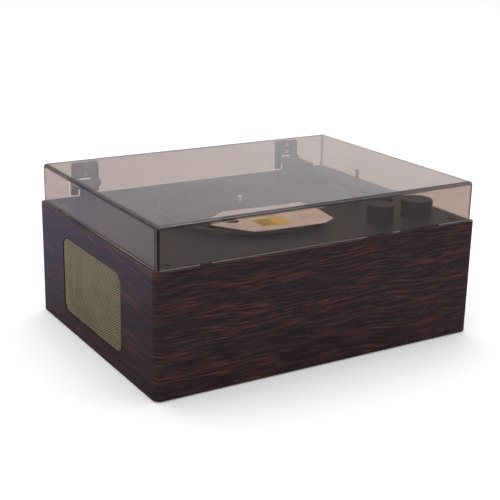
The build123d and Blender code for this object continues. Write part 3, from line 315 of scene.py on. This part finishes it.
def raw_board(r):
    """Bare fibreboard with short pale and dark fibres."""
    fibres = r.noise(r.place, 900.0, 5.0, 0.7)
    cloud = r.noise(r.place, 40.0, 2.0)
    mottle = (fibres * 0.8 + cloud * 0.4).rise(0.4, 0.8)
    tint = r.mix(mottle, shade(look().board, 0.62), shade(look().board, 1.25))
    return r.finish({"Base Color": tint, "Roughness": 0.85, "Normal": r.bump(fibres, 0.0002, 0.6)})


def moulded(r, base, roughness, grain=0.00004, specular=0.5):
    """Moulded plastic with a fine spark-eroded grain and slightly uneven gloss."""
    fine = r.noise(r.place, PORE * 0.5, 3.0, 0.6)
    cloud = r.noise(r.place, 22.0, 3.0)
    tint = r.mix(cloud * 0.7 + fine * 0.3, shade(base, 0.84), shade(base, 1.22))
    gloss = roughness + (cloud - 0.5) * 0.10 + (fine - 0.5) * 0.08
    return r.finish({
        "Base Color": tint, "Roughness": gloss, "Normal": r.bump(fine, grain, 0.7),
        "Specular IOR Level": specular,
    })


def deck_plastic(r):
    """Satin dark plastic of the deck, the tonearm and the hinges."""
    return moulded(r, look().deck, 0.42, specular=0.16)


def knob_plastic(r):
    """Satin plastic of the knobs, sliders, cue lever and arm clip."""
    return moulded(r, look().knob, 0.36, 0.00002, specular=0.12)


def black_plastic(r):
    """Plain black plastic of the sockets, the switches and the cartridge."""
    return moulded(r, look().black, 0.42)


def smoked_acrylic(r):
    """Polished smoked acrylic, which lets soft light through to what it covers; painted shade darkens its
    tint along the rounded edges.
    """
    haze = r.noise(r.place, 9.0, 3.0)
    tint = r.mix(haze, shade(look().acrylic, 0.97), shade(look().acrylic, 1.03))
    x, y, z = r.axes()
    # painted shade: the tint darkens to near black along the cover's rounded edges and corners
    low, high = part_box("dust_cover")
    near_shaded_edge = [
        abs(axis - (small + big) / 2).rise((big - small) / 2 - PAINTED_SHADE_START, (big - small) / 2 - PAINTED_SHADE_FULL)
        for axis, small, big in zip((x, y), low, high)
    ]
    near_shaded_edge.append(z.rise(high.z - PAINTED_SHADE_START, high.z - PAINTED_SHADE_FULL))
    edge = near_shaded_edge[0] * near_shaded_edge[1] + near_shaded_edge[0] * near_shaded_edge[2] + near_shaded_edge[1] * near_shaded_edge[2]
    tint = r.mix(edge.rise(0.0, 0.7) * 0.95, tint, (0.05, 0.04, 0.045))
    ripple = r.noise(r.place, 14.0, 1.0)
    glass = r.shader({
        "Base Color": tint, "Roughness": 0.0, "IOR": 1.49, "Transmission Weight": 1.0,
        "Normal": r.bump(ripple, 0.0003, 0.25),
    })
    clear_tint = (*(c ** 0.4 for c in look().acrylic), 1.0)
    clear = r.node("ShaderNodeBsdfTransparent", None, {"Color": clear_tint})
    for rays in ("Is Shadow Ray", "Is Diffuse Ray"):
        path = r.node("ShaderNodeLightPath", out=rays)
        glass = r.node("ShaderNodeMixShader", None, {0: path, 1: glass, 2: clear})
    return r.finish(glass)


def gold_sheet(r):
    """Satin gold finish on sheet metal, a little rubbed."""
    cloud = r.noise(r.place, 30.0, 4.0, 0.6)
    fine = r.noise(r.place, PORE * 0.3, 2.0)
    tint = r.mix(cloud * 0.6 + fine * 0.4, shade(look().gold, 0.72), shade(look().gold, 1.15))
    gloss = 0.34 + cloud * 0.16
    return r.finish({
        "Base Color": tint, "Metallic": 0.85, "Roughness": gloss, "Normal": r.bump(fine, 0.00003, 0.6),
    })


def turned_metal(r, base, roughness, pitch=0.0009):
    """Metal turned on a lathe about the platter's axis."""
    radius = r.radius(PLATTER_AXIS)
    rings = (radius * (2 * math.pi / pitch)).put("SINE")
    cloud = r.noise(r.place, 60.0, 3.0)
    tint = r.mix(cloud, shade(base, 0.86), shade(base, 1.12))
    gloss = roughness + cloud * 0.1
    normal = r.bump(rings * 0.5 + 0.5, 0.00002, 0.6)
    return r.finish({"Base Color": tint, "Metallic": 1.0, "Roughness": gloss, "Normal": normal})


def platter_metal(r):
    """Dark satin aluminium of the platter and the counterweight."""
    return turned_metal(r, look().platter, 0.36)


def rubber(r):
    """Matt rubber with a dusty bloom."""
    bloom = r.noise(r.place, 45.0, 4.0, 0.6)
    fine = r.noise(r.place, PORE * 0.4, 2.0)
    tint = r.mix(bloom, look().rubber, shade(look().rubber, 1.9))
    gloss = 0.66 + bloom * 0.2
    return r.finish({"Base Color": tint, "Roughness": gloss, "Normal": r.bump(fine, 0.00005, 0.8)})


def plated(r, base, roughness, streak=500.0):
    """Bright metal with faint rubbing marks."""
    x, y, z = r.axes()
    marks = r.noise(r.vector(x * streak, y * streak * 0.15, z * streak), 1.0, 3.0, 0.6)
    cloud = r.noise(r.place, 80.0, 2.0)
    tint = r.mix(cloud * 0.6 + marks * 0.4, shade(base, 0.82), shade(base, 1.12))
    gloss = roughness + marks * 0.12
    normal = r.bump(marks, 0.00001, 0.5)
    return r.finish({"Base Color": tint, "Metallic": 1.0, "Roughness": gloss, "Normal": normal})


def polished_steel(r):
    """Polished steel of the spindle and the pins."""
    return plated(r, (0.72, 0.72, 0.73), 0.08)


def steel(r):
    """Zinc-plated steel of the screws, the motor, its bracket and the control shafts."""
    return plated(r, look().steel, 0.26)


def brass(r):
    """Turned brass of the bush and the pulley."""
    return plated(r, look().brass, 0.2, 900.0)


def black_steel(r):
    """Steel of the deck screws and speaker baskets, in thin black paint with handling marks."""
    marks = r.noise(r.place, 700.0, 3.0, 0.6)
    cloud = r.noise(r.place, 60.0, 2.0)
    tint = r.mix(cloud * 0.6 + marks * 0.4, (0.010, 0.010, 0.011), (0.026, 0.026, 0.028))
    gloss = 0.40 + marks * 0.15
    return r.finish({"Base Color": tint, "Roughness": gloss, "Normal": r.bump(marks, 0.00003, 0.5)})


def magnet(r):
    """Ceramic magnet with a speckled, slightly porous face."""
    specks = r.noise(r.place, 1400.0, 3.0, 0.7)
    tint = r.mix(specks.rise(0.4, 0.7), (0.02, 0.02, 0.022), (0.075, 0.075, 0.08))
    gloss = 0.6 + specks * 0.2
    return r.finish({"Base Color": tint, "Roughness": gloss, "Normal": r.bump(specks, 0.0001, 0.6)})


def paper_cone(r):
    """Pressed black paper with long fibres."""
    fibres = r.noise(r.place, 420.0, 5.0, 0.72)
    tint = r.mix(fibres.rise(0.4, 0.75), look().cone, shade(look().cone, 2.4))
    return r.finish({"Base Color": tint, "Roughness": 0.9, "Normal": r.bump(fibres, 0.0002, 0.8)})


def circuit_board(r):
    """Green solder mask with lighter tracks, under dark components."""
    x, y, z = r.axes()
    board_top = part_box("main_board")[0].z + BOARD_SKIN
    steps = r.noise(r.vector(x * 90.0, y * 20.0, 0.0), 1.0, 0.0)
    tracks = abs((y * 330.0 + (steps * 6.0).put("FLOOR")).put("FRACT") - 0.5)
    lines = tracks.rise(0.30, 0.34)
    tint = r.mix(lines, look().circuit, shade(look().circuit, 1.7))
    tint = r.mix(z.above(board_top), tint, (0.02, 0.02, 0.022))
    gloss = 0.35 + lines * 0.1
    return r.finish({"Base Color": tint, "Roughness": gloss, "Normal": r.bump(lines, 0.00004, 0.5)})


def paper(r, base, roughness=0.8):
    """Uncoated paper with fibres and a little handling grime."""
    fibres = r.noise(r.place, 1300.0, 4.0, 0.7)
    grime = r.noise(r.place, 38.0, 4.0, 0.6)
    soiled = tuple(c * f for c, f in zip(base, (0.80, 0.76, 0.72)))
    tint = r.mix((grime * 0.8 + fibres * 0.3).rise(0.45, 0.75), base, soiled)
    return tint, {"Roughness": roughness, "Normal": r.bump(fibres, 0.00008, 0.5)}


def card_stock(r):
    """Cream card that lies on the platter."""
    tint, rest = paper(r, look().card)
    return r.finish({"Base Color": tint, **rest})


def yellow_label(r):
    """Yellow paper label with rows of short generic strokes on one half."""
    tint, rest = paper(r, look().label, 0.55)
    centre = sum(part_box("card_label"), Vector()) / 2
    turned = r.node("ShaderNodeMapping", {"vector_type": "TEXTURE"}, {
        "Vector": r.place, "Location": centre, "Rotation": (0.0, 0.0, CARD_TURN),
    })
    x, y, _ = r.axes(turned)
    column = x / LABEL_COLUMN
    marks = r.noise(r.vector(column.put("FLOOR") * 5.0, y * 700.0, 0.0), 1.0, 1.0)
    ink = abs(column.put("FRACT") - 0.5).rise(0.36, 0.24) * marks.rise(0.42, 0.52)
    inside = 1.0
    for axis, half, fade in zip((x + PRINT_SHIFT, y), PRINT_HALF, PRINT_FADE):
        inside = abs(axis).rise(half + fade, half - fade) * inside
    tint = r.mix(ink * inside, tint, (0.05, 0.045, 0.02))
    return r.finish({"Base Color": tint, **rest})


FINISHES = {recipe.__name__: recipe for recipe in (
    veneer, raw_board, deck_plastic, knob_plastic, black_plastic, smoked_acrylic, gold_sheet,
    platter_metal, rubber, polished_steel, steel, black_steel, brass, magnet, paper_cone, circuit_board,
    card_stock, yellow_label,
)}
SLOT_FINISH = {"veneered_board": "veneer"}
NODE_FINISH = {
    "deck_screws": "black_steel", "left_speaker_basket": "black_steel", "right_speaker_basket": "black_steel",
}


# ---------------------------------------------------------------- mesh helpers
def dress(*nodes):
    """Gives frame pieces the finish that their material slot names."""
    for name in nodes:
        for holder in frame["nodes"][name].material_slots:
            base = holder.material.name.split(".")[0]
            holder.material = material(NODE_FINISH.get(name, SLOT_FINISH.get(base, base)))


def slot_of(node):
    """The record's material slot of a frame piece."""
    return next(part["material_slot"] for part in frame["record"]["subparts"] if part["node"] == node)


def body_of(node):
    """The body that a frame piece rides on."""
    return next(body for body, nodes in frame["record"]["behaviour"]["bodies"].items() if node in nodes)


def piece(name, bm, *nodes, sharp=30.0, flat=1.0):
    """Makes an object of a bmesh that stands for some frame pieces and moves with their body."""
    for face in bm.faces:
        face.smooth = face.calc_area() < flat
    for edge in bm.edges:
        edge.smooth = edge.calc_face_angle(math.pi) < math.radians(sharp)
    mesh = bpy.data.meshes.new(name)
    bm.to_mesh(mesh)
    bm.free()
    made = bpy.data.objects.new(name, mesh)
    bpy.context.scene.collection.objects.link(made)
    slot = slot_of(nodes[0])
    mesh.materials.append(material(SLOT_FINISH.get(slot, slot)))
    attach(made, body_of(nodes[0]))
    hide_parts(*nodes)


def soften(bm, edges, width):
    """Rounds some edges."""
    bmesh.ops.bevel(
        bm, geom=list(edges), offset=width, segments=7, profile=0.5,
        affect="EDGES", material=-1, clamp_overlap=True,
    )


def slice_at(bm, place, way, clear_outer=False):
    """Cuts every face along a plane, and takes away what lies beyond it if asked."""
    bmesh.ops.bisect_plane(
        bm, geom=bm.verts[:] + bm.edges[:] + bm.faces[:], dist=NOTHING,
        plane_co=place, plane_no=way, clear_outer=clear_outer,
    )


def fresh_verts(made):
    """The vertices among what an operator made."""
    return [v for v in made["geom"] if isinstance(v, bmesh.types.BMVert)]


def copy_along(bm, steps):
    """Copies the whole mesh once for each step."""
    whole = bm.verts[:] + bm.edges[:] + bm.faces[:]
    for step in steps:
        made = bmesh.ops.duplicate(bm, geom=whole)
        bmesh.ops.translate(bm, verts=fresh_verts(made), vec=step)


# ---------------------------------------------------------------- pieces
def grille(side, name):
    """Perforated sheet: a honeycomb of cells, each with a round hole, cut to the opening."""
    low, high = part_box(name)
    pitch = sizes().hole_pitch
    step = pitch * math.cos(math.radians(30))
    radius = pitch / math.sqrt(3)
    bm = bmesh.new()
    cell = bmesh.ops.create_circle(bm, cap_ends=False, radius=radius, segments=6)["verts"]
    bmesh.ops.rotate(bm, verts=cell, cent=(0, 0, 0), matrix=Matrix.Rotation(math.radians(30), 3, "Z"))
    bmesh.ops.subdivide_edges(bm, edges=bm.edges[:], cuts=1)
    bmesh.ops.create_circle(bm, cap_ends=False, radius=sizes().hole_size / 2, segments=12)
    bmesh.ops.bridge_loops(bm, edges=bm.edges[:])
    columns = math.ceil((high.y - low.y) / step / 2) * 2 + 2
    rows = math.ceil((high.z - low.z) / pitch) + 2
    copy_along(bm, [(0, row * pitch, 0) for row in range(1, rows)])
    copy_along(bm, [(index * step, (index % 2) * pitch / 2, 0) for index in range(1, columns)])
    bmesh.ops.remove_doubles(bm, verts=bm.verts[:], dist=pitch * 0.01)
    middle = Vector(((columns - 1) * step / 2, (rows - 1) * pitch / 2, 0))
    bmesh.ops.translate(bm, verts=bm.verts[:], vec=-middle)
    cut_to_rounded_rectangle(bm, high.y - low.y, high.z - low.z, GRILLE_CORNER)
    bmesh.ops.solidify(bm, geom=bm.faces[:], thickness=sizes().sheet)
    face_x = high.x if side > 0 else low.x
    turn = Matrix(((0, 0, 1), (1, 0, 0), (0, 1, 0))).to_4x4()
    bmesh.ops.transform(bm, matrix=turn, verts=bm.verts[:])
    ends = [v.co.x for v in bm.verts]
    shift = face_x - (max(ends) if side > 0 else min(ends))
    centre = (low + high) / 2
    bmesh.ops.translate(bm, verts=bm.verts[:], vec=(shift, centre.y, centre.z))
    bmesh.ops.recalc_face_normals(bm, faces=bm.faces[:])
    piece(name + "_sheet", bm, name)


def cut_to_rounded_rectangle(bm, width, height, corner):
    """Cuts a flat sheet to a rounded rectangle by its tangent lines."""
    for index in range(4 * CORNER_LINES):
        angle = math.radians(90) * index / CORNER_LINES
        out = Vector((math.cos(angle), math.sin(angle), 0))
        across = Vector((
            math.copysign(width / 2 - corner, out.x + NOTHING),
            math.copysign(height / 2 - corner, out.y + NOTHING), 0,
        ))
        slice_at(bm, across + out * corner, out, clear_outer=True)


def dust_cover():
    """Moulded cover: a box with rounded edges, notched for its hinges and given its wall."""
    low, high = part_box("dust_cover")
    bm = bmesh.new()
    bmesh.ops.create_cube(bm, size=1.0)
    bmesh.ops.scale(bm, vec=high - low, verts=bm.verts[:])
    bmesh.ops.translate(bm, vec=(low + high) / 2, verts=bm.verts[:])
    under = [f for f in bm.faces if f.normal.z < -0.5]
    bmesh.ops.delete(bm, geom=under, context="FACES_ONLY")
    soften(bm, [e for e in bm.edges if abs(e.verts[0].co.z - e.verts[1].co.z) > MM], COVER_CORNER_R)
    soften(bm, [e for e in bm.edges if min(v.co.z for v in e.verts) > high.z - MM * 0.1], COVER_TOP_R)
    cuts = [(DECK_TOP + NOTCH_TOP, (0, 0, 1)), (DECK_TOP + BACK_GAP, (0, 0, 1))]
    cuts += [(x + side * NOTCH_HALF, (1, 0, 0)) for x in HINGE_XS for side in (-1, 1)]
    for place, way in cuts:
        slice_at(bm, Vector(way) * place, way)
    gone = []
    for face in bm.faces:
        middle = face.calc_center_median()
        in_notch = any(abs(middle.x - x) < NOTCH_HALF for x in HINGE_XS) and middle.z < DECK_TOP + NOTCH_TOP
        if middle.y > high.y - MM * 0.1 and (in_notch or middle.z < DECK_TOP + BACK_GAP):
            gone.append(face)
    bmesh.ops.delete(bm, geom=gone, context="FACES")
    bmesh.ops.recalc_face_normals(bm, faces=bm.faces[:])
    if next(f for f in bm.faces if f.calc_area() > 0.05).normal.z < 0:
        bmesh.ops.reverse_faces(bm, faces=bm.faces[:])
    bmesh.ops.solidify(bm, geom=bm.faces[:], thickness=COVER_WALL)
    bmesh.ops.recalc_face_normals(bm, faces=bm.faces[:])
    piece("moulded_cover", bm, "dust_cover", flat=1e-4)


def lay_on_mat(bm, thick):
    """Gives a flat sheet its thickness, curls its ends up and lays it at the card's place."""
    made = bmesh.ops.extrude_face_region(bm, geom=bm.faces[:])
    bmesh.ops.translate(bm, verts=fresh_verts(made), vec=(0, 0, thick))
    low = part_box("transit_card")[0].z
    for vertex in bm.verts:
        reach = max(0.0, abs(vertex.co.x) / CARD_HALF - 0.35) / 0.65
        share = 1.0 if vertex.co.x < 0 else 0.45
        vertex.co.z += low + sizes().curl * share * reach ** 1.7
    turn = Matrix.Translation((*CARD_PLACE, 0)) @ Matrix.Rotation(CARD_TURN, 4, "Z")
    bmesh.ops.transform(bm, matrix=turn, verts=bm.verts[:])
    bmesh.ops.recalc_face_normals(bm, faces=bm.faces[:])


def card_sheet():
    """Card with a round finger hole, cut to its outline and curled."""
    bm = bmesh.new()
    bmesh.ops.create_circle(bm, cap_ends=False, radius=CARD_HOLE[2], segments=32)
    bmesh.ops.create_circle(bm, cap_ends=False, radius=CARD_BLANK, segments=32)
    bmesh.ops.bridge_loops(bm, edges=bm.edges[:])
    bmesh.ops.translate(bm, verts=bm.verts[:], vec=(CARD_HOLE[0], CARD_HOLE[1], 0))
    for start, end in zip(CARD_OUTLINE, CARD_OUTLINE[1:] + CARD_OUTLINE[:1]):
        start, end = (Vector((*point, 0)) * MM for point in (start, end))
        way = (end - start).cross(Vector((0, 0, 1)))
        outward = way if way.dot(start) > 0 else -way
        slice_at(bm, start, outward.normalized(), clear_outer=True)
    for index in range(1, CARD_SLICES):
        slice_at(bm, ((index / CARD_SLICES - 0.5) * SLICED_WIDTH, 0, 0), (1, 0, 0))
    bmesh.ops.recalc_face_normals(bm, faces=bm.faces[:])
    lay_on_mat(bm, CARD_THICK)
    piece("card_sheet", bm, "transit_card")


def label_sheet():
    """Label stuck to the card, with the card's curl."""
    bm = bmesh.new()
    bmesh.ops.create_grid(bm, x_segments=12, y_segments=8, size=0.5)
    bmesh.ops.scale(bm, vec=(*LABEL_SIZE, 1), verts=bm.verts[:])
    bmesh.ops.translate(bm, verts=bm.verts[:], vec=(*LABEL_PLACE, CARD_THICK))
    lay_on_mat(bm, LABEL_THICK)
    piece("label_sheet", bm, "card_label")


def grooved_mat():
    """Rubber mat turned from its profile, with rings and a sunken label area."""
    low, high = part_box("platter_mat")
    thick = high.z - low.z
    outer = (high.x - low.x) / 2
    sunk = high.z - MAT_SINK
    cut = high.z - MAT_GROOVE
    outline = [(MAT_BORE, low.z), (MAT_BORE, sunk), (MAT_WELL, sunk), (MAT_WELL + MM, high.z)]
    pitch = (outer - MAT_RINGS - MM) / sizes().grooves
    for index in range(sizes().grooves):
        start = MAT_RINGS + index * pitch
        for share, height in ((0.0, high.z), (0.2, cut), (0.4, cut), (0.6, high.z)):
            outline.append((start + pitch * share, height))
    outline += [(outer - thick * 0.3, high.z), (outer, high.z - thick * 0.3), (outer, low.z)]
    bm = bmesh.new()
    ring = [bm.verts.new((x, 0, z)) for x, z in outline]
    edges = [bm.edges.new(pair) for pair in zip(ring, ring[1:] + ring[:1])]
    bmesh.ops.spin(
        bm, geom=ring + edges, cent=(0, 0, 0), axis=(0, 0, 1), angle=2 * math.pi, steps=96, use_merge=True,
    )
    bmesh.ops.translate(bm, verts=bm.verts[:], vec=(PLATTER_AXIS.x, PLATTER_AXIS.y, 0))
    bmesh.ops.recalc_face_normals(bm, faces=bm.faces[:])
    piece("grooved_mat", bm, "platter_mat", sharp=25.0)


# ---------------------------------------------------------------- stage
CAMERA_TURN = -31.578    # degrees round the object, from straight in front
CAMERA_RISE = 17.640
CAMERA_ROLL = 1.240
CAMERA_REACH = 1.30408
CAMERA_AIM = (-0.0033, 0.00139, 0.09034)
LENS = 77.506
SENSOR = 36.0
FLOOR_SIZE = 40.0
WHITE = (1.0, 1.0, 1.0)
SOFT_LIGHTS = (          # place, size, power
    ((0.3, 1.2, 2.6), 2.6, 26.0),
    ((-2.2, -1.4, 1.9), 1.6, 9.0),
    ((2.4, -0.8, 1.6), 1.4, 5.0),
)


def lay_floor():
    """A wide pale floor, which glossy rays see in a dimmer painted reflection tone, bluer towards the back
    left.
    """
    bm = bmesh.new()
    bmesh.ops.create_grid(bm, x_segments=1, y_segments=1, size=FLOOR_SIZE / 2)
    mesh = bpy.data.meshes.new("floor")
    bm.to_mesh(mesh)
    bm.free()
    floor = bpy.data.objects.new("floor", mesh)
    bpy.context.scene.collection.objects.link(floor)
    r = Recipe(bpy.data.materials.new("floor"))
    cloud = r.noise(r.place, 2.0, 2.0)
    pale = look().floor
    tint = r.mix(cloud, shade(pale, 0.985), pale)
    seen = r.shader({
        "Base Color": tint, "Roughness": 0.9, "Specular IOR Level": 0.1,
        "Emission Color": (1.0, 1.0, 1.0, 1.0), "Emission Strength": 0.09,
    })
    x, y, _ = r.axes()
    # painted reflection: glossy rays see the floor darker than it is, bluer towards the back left
    mirrored = r.mix((y - x).rise(0.1, 1.2), (0.13, 0.13, 0.14), (0.30, 0.29, 0.41))
    painted_reflection_floor = r.node("ShaderNodeBsdfDiffuse", None, {"Color": mirrored})
    path = r.node("ShaderNodeLightPath", out="Is Glossy Ray")
    surface = r.node("ShaderNodeMixShader", None, {0: path, 1: seen, 2: painted_reflection_floor})
    path = r.node("ShaderNodeLightPath", out="Is Transmission Ray")
    mesh.materials.append(r.finish(r.node("ShaderNodeMixShader", None, {0: path, 1: surface, 2: seen})))


def light_world():
    """White surroundings, greyer where the cover mirrors them and darker towards the left."""
    world = bpy.data.worlds.new("studio")
    bpy.context.scene.world = world
    r = Recipe(world)
    x, y, z = r.axes(r.node("ShaderNodeTexCoord", out="Generated"))
    tone = r.mix((y * 0.75 + z * 0.65).rise(-0.35, 0.75), (0.78, 0.78, 0.79), (1.05, 1.05, 1.05))
    low = r.mix(x.rise(0.34, 0.62), (0.44, 0.44, 0.49), (0.66, 0.66, 0.71))
    mirrored = r.mix(z.rise(0.45, 0.85), low, (0.95, 0.95, 0.97))
    for rays, seen in (("Is Glossy Ray", mirrored), ("Is Transmission Ray", WHITE), ("Is Camera Ray", WHITE)):
        tone = r.mix(r.node("ShaderNodeLightPath", out=rays), tone, seen)
    light = r.node("ShaderNodeBackground", None, {"Color": tone, "Strength": 1.0})
    output = r.tree.nodes.new("ShaderNodeOutputWorld")
    r.tree.links.new(light.socket, output.inputs["Surface"])


def soft_light(name, place, size, power):
    """A square soft light aimed at the player."""
    lamp = bpy.data.lights.new(name, "AREA")
    lamp.shape = "SQUARE"
    lamp.size = size
    lamp.energy = power
    made = bpy.data.objects.new(name, lamp)
    made.location = place
    made.rotation_mode = "QUATERNION"
    made.rotation_quaternion = (Vector(place) - Vector(CAMERA_AIM)).to_track_quat("Z", "Y")
    bpy.context.scene.collection.objects.link(made)


def aim_camera():
    """The camera, low in front of the player's left corner."""
    turn = math.radians(CAMERA_TURN)
    rise = math.radians(CAMERA_RISE)
    back = Vector((math.sin(turn) * math.cos(rise), -math.cos(turn) * math.cos(rise), math.sin(rise)))
    data = bpy.data.cameras.new("camera")
    data.sensor_width = SENSOR
    data.lens = LENS
    data.clip_start = 0.05
    data.clip_end = 200.0
    made = bpy.data.objects.new("camera", data)
    made.location = Vector(CAMERA_AIM) + back * CAMERA_REACH
    made.rotation_mode = "QUATERNION"
    roll = Quaternion((0, 0, 1), math.radians(CAMERA_ROLL))
    made.rotation_quaternion = (-back).to_track_quat("-Z", "Y") @ roll
    bpy.context.scene.collection.objects.link(made)
    bpy.context.scene.camera = made


# ---------------------------------------------------------------- operators
class PLAYER_OT_stage(bpy.types.Operator):
    """Lay the pale floor, set the soft lights and aim the camera"""

    bl_idname = "player.stage"
    bl_label = "Stage"

    def execute(self, context):
        context.scene.view_settings.view_transform = "Standard"
        lay_floor()
        light_world()
        for index, (place, size, power) in enumerate(SOFT_LIGHTS):
            soft_light("soft_light_" + str(index + 1), place, size, power)
        aim_camera()
        return {"FINISHED"}


class PLAYER_OT_cabinet(bpy.types.Operator):
    """Veneer the cabinet and finish its board, blocks, feet and screws"""

    bl_idname = "player.cabinet"
    bl_label = "Cabinet"

    def execute(self, context):
        dress("front_panel", "back_panel", "left_panel", "right_panel")
        dress("bottom_panel", "corner_blocks", "rubber_feet", "case_screws")
        return {"FINISHED"}


class PLAYER_OT_grilles(bpy.types.Operator):
    """Perforate the two speaker grilles"""

    bl_idname = "player.grilles"
    bl_label = "Grilles"

    def execute(self, context):
        grille(-1, "left_grille")
        grille(1, "right_grille")
        return {"FINISHED"}


class PLAYER_OT_speakers(bpy.types.Operator):
    """Finish the baskets, cones and magnets of both speakers"""

    bl_idname = "player.speakers"
    bl_label = "Speakers"

    def execute(self, context):
        for side in ("left", "right"):
            dress(side + "_speaker_basket", side + "_speaker_cone", side + "_speaker_magnet")
        return {"FINISHED"}


class PLAYER_OT_deck(bpy.types.Operator):
    """Finish the deck plate and its screws"""

    bl_idname = "player.deck"
    bl_label = "Deck"

    def execute(self, context):
        dress("deck_plate", "deck_screws")
        return {"FINISHED"}


class PLAYER_OT_platter(bpy.types.Operator):
    """Finish the platter, its mat and spindle, and the drive below them"""

    bl_idname = "player.platter"
    bl_label = "Platter and drive"

    def execute(self, context):
        dress("platter", "spindle", "bearing_bush", "drive_belt")
        grooved_mat()
        dress("motor", "motor_pulley", "motor_bracket")
        return {"FINISHED"}


class PLAYER_OT_card(bpy.types.Operator):
    """Lay the transit card and its label on the mat"""

    bl_idname = "player.card"
    bl_label = "Transit card"

    def execute(self, context):
        card_sheet()
        label_sheet()
        return {"FINISHED"}


class PLAYER_OT_tonearm(bpy.types.Operator):
    """Finish the tonearm, its base, rest and lift"""

    bl_idname = "player.tonearm"
    bl_label = "Tonearm"

    def execute(self, context):
        dress("tonearm_base", "tonearm_housing", "arm_pivot_pin", "tonearm_tube", "counterweight")
        dress("headshell", "cartridge", "stylus", "arm_rest", "arm_clip", "cue_lever", "cue_lift")
        return {"FINISHED"}


class PLAYER_OT_controls(bpy.types.Operator):
    """Finish the knobs, shafts, sliders and what they turn"""

    bl_idname = "player.controls"
    bl_label = "Controls"

    def execute(self, context):
        dress("volume_knob", "volume_shaft", "mode_knob", "mode_shaft", "control_pots")
        dress("slide_switches", "speed_slider", "autostop_slider")
        return {"FINISHED"}


class PLAYER_OT_cover(bpy.types.Operator):
    """Polish the dust cover and finish its hinges and bumpers"""

    bl_idname = "player.cover"
    bl_label = "Dust cover"

    def execute(self, context):
        dust_cover()
        dress("lid_bumpers")
        dress("hinge_leaves", "hinge_bases", "hinge_pins", "leaf_screws")
        return {"FINISHED"}


class PLAYER_OT_sockets(bpy.types.Operator):
    """Finish the rear sockets and the circuit board"""

    bl_idname = "player.sockets"
    bl_label = "Rear sockets"

    def execute(self, context):
        dress("jack_plate", "rca_jacks", "aux_jack", "dc_jack", "main_board")
        return {"FINISHED"}


STEPS = (
    PLAYER_OT_stage, PLAYER_OT_cabinet, PLAYER_OT_grilles, PLAYER_OT_speakers, PLAYER_OT_deck,
    PLAYER_OT_platter, PLAYER_OT_card, PLAYER_OT_tonearm, PLAYER_OT_controls, PLAYER_OT_cover,
    PLAYER_OT_sockets,
)


class PLAYER_PT_panel(bpy.types.Panel):
    """Lists the steps, and the colours and sizes that they use"""

    bl_idname = "PLAYER_PT_panel"
    bl_label = "Record player"
    bl_space_type = "VIEW_3D"
    bl_region_type = "UI"
    bl_category = "Record player"

    def draw(self, context):
        for step in STEPS:
            self.layout.operator(step.bl_idname)
        for group in (context.scene.player_colours, context.scene.player_sizes):
            for name in group.__annotations__:
                self.layout.prop(group, name)


CLASSES = (PlayerColours, PlayerSizes, *STEPS, PLAYER_PT_panel)


def register():
    for kind in CLASSES:
        bpy.utils.register_class(kind)
    bpy.types.Scene.player_colours = PointerProperty(type=PlayerColours)
    bpy.types.Scene.player_sizes = PointerProperty(type=PlayerSizes)


def unregister():
    del bpy.types.Scene.player_sizes
    del bpy.types.Scene.player_colours
    for kind in reversed(CLASSES):
        bpy.utils.unregister_class(kind)


def main():
    register()
    for step in STEPS:
        family, name = step.bl_idname.split(".")
        getattr(getattr(bpy.ops, family), name)()


if __name__ == "__main__":
    main()
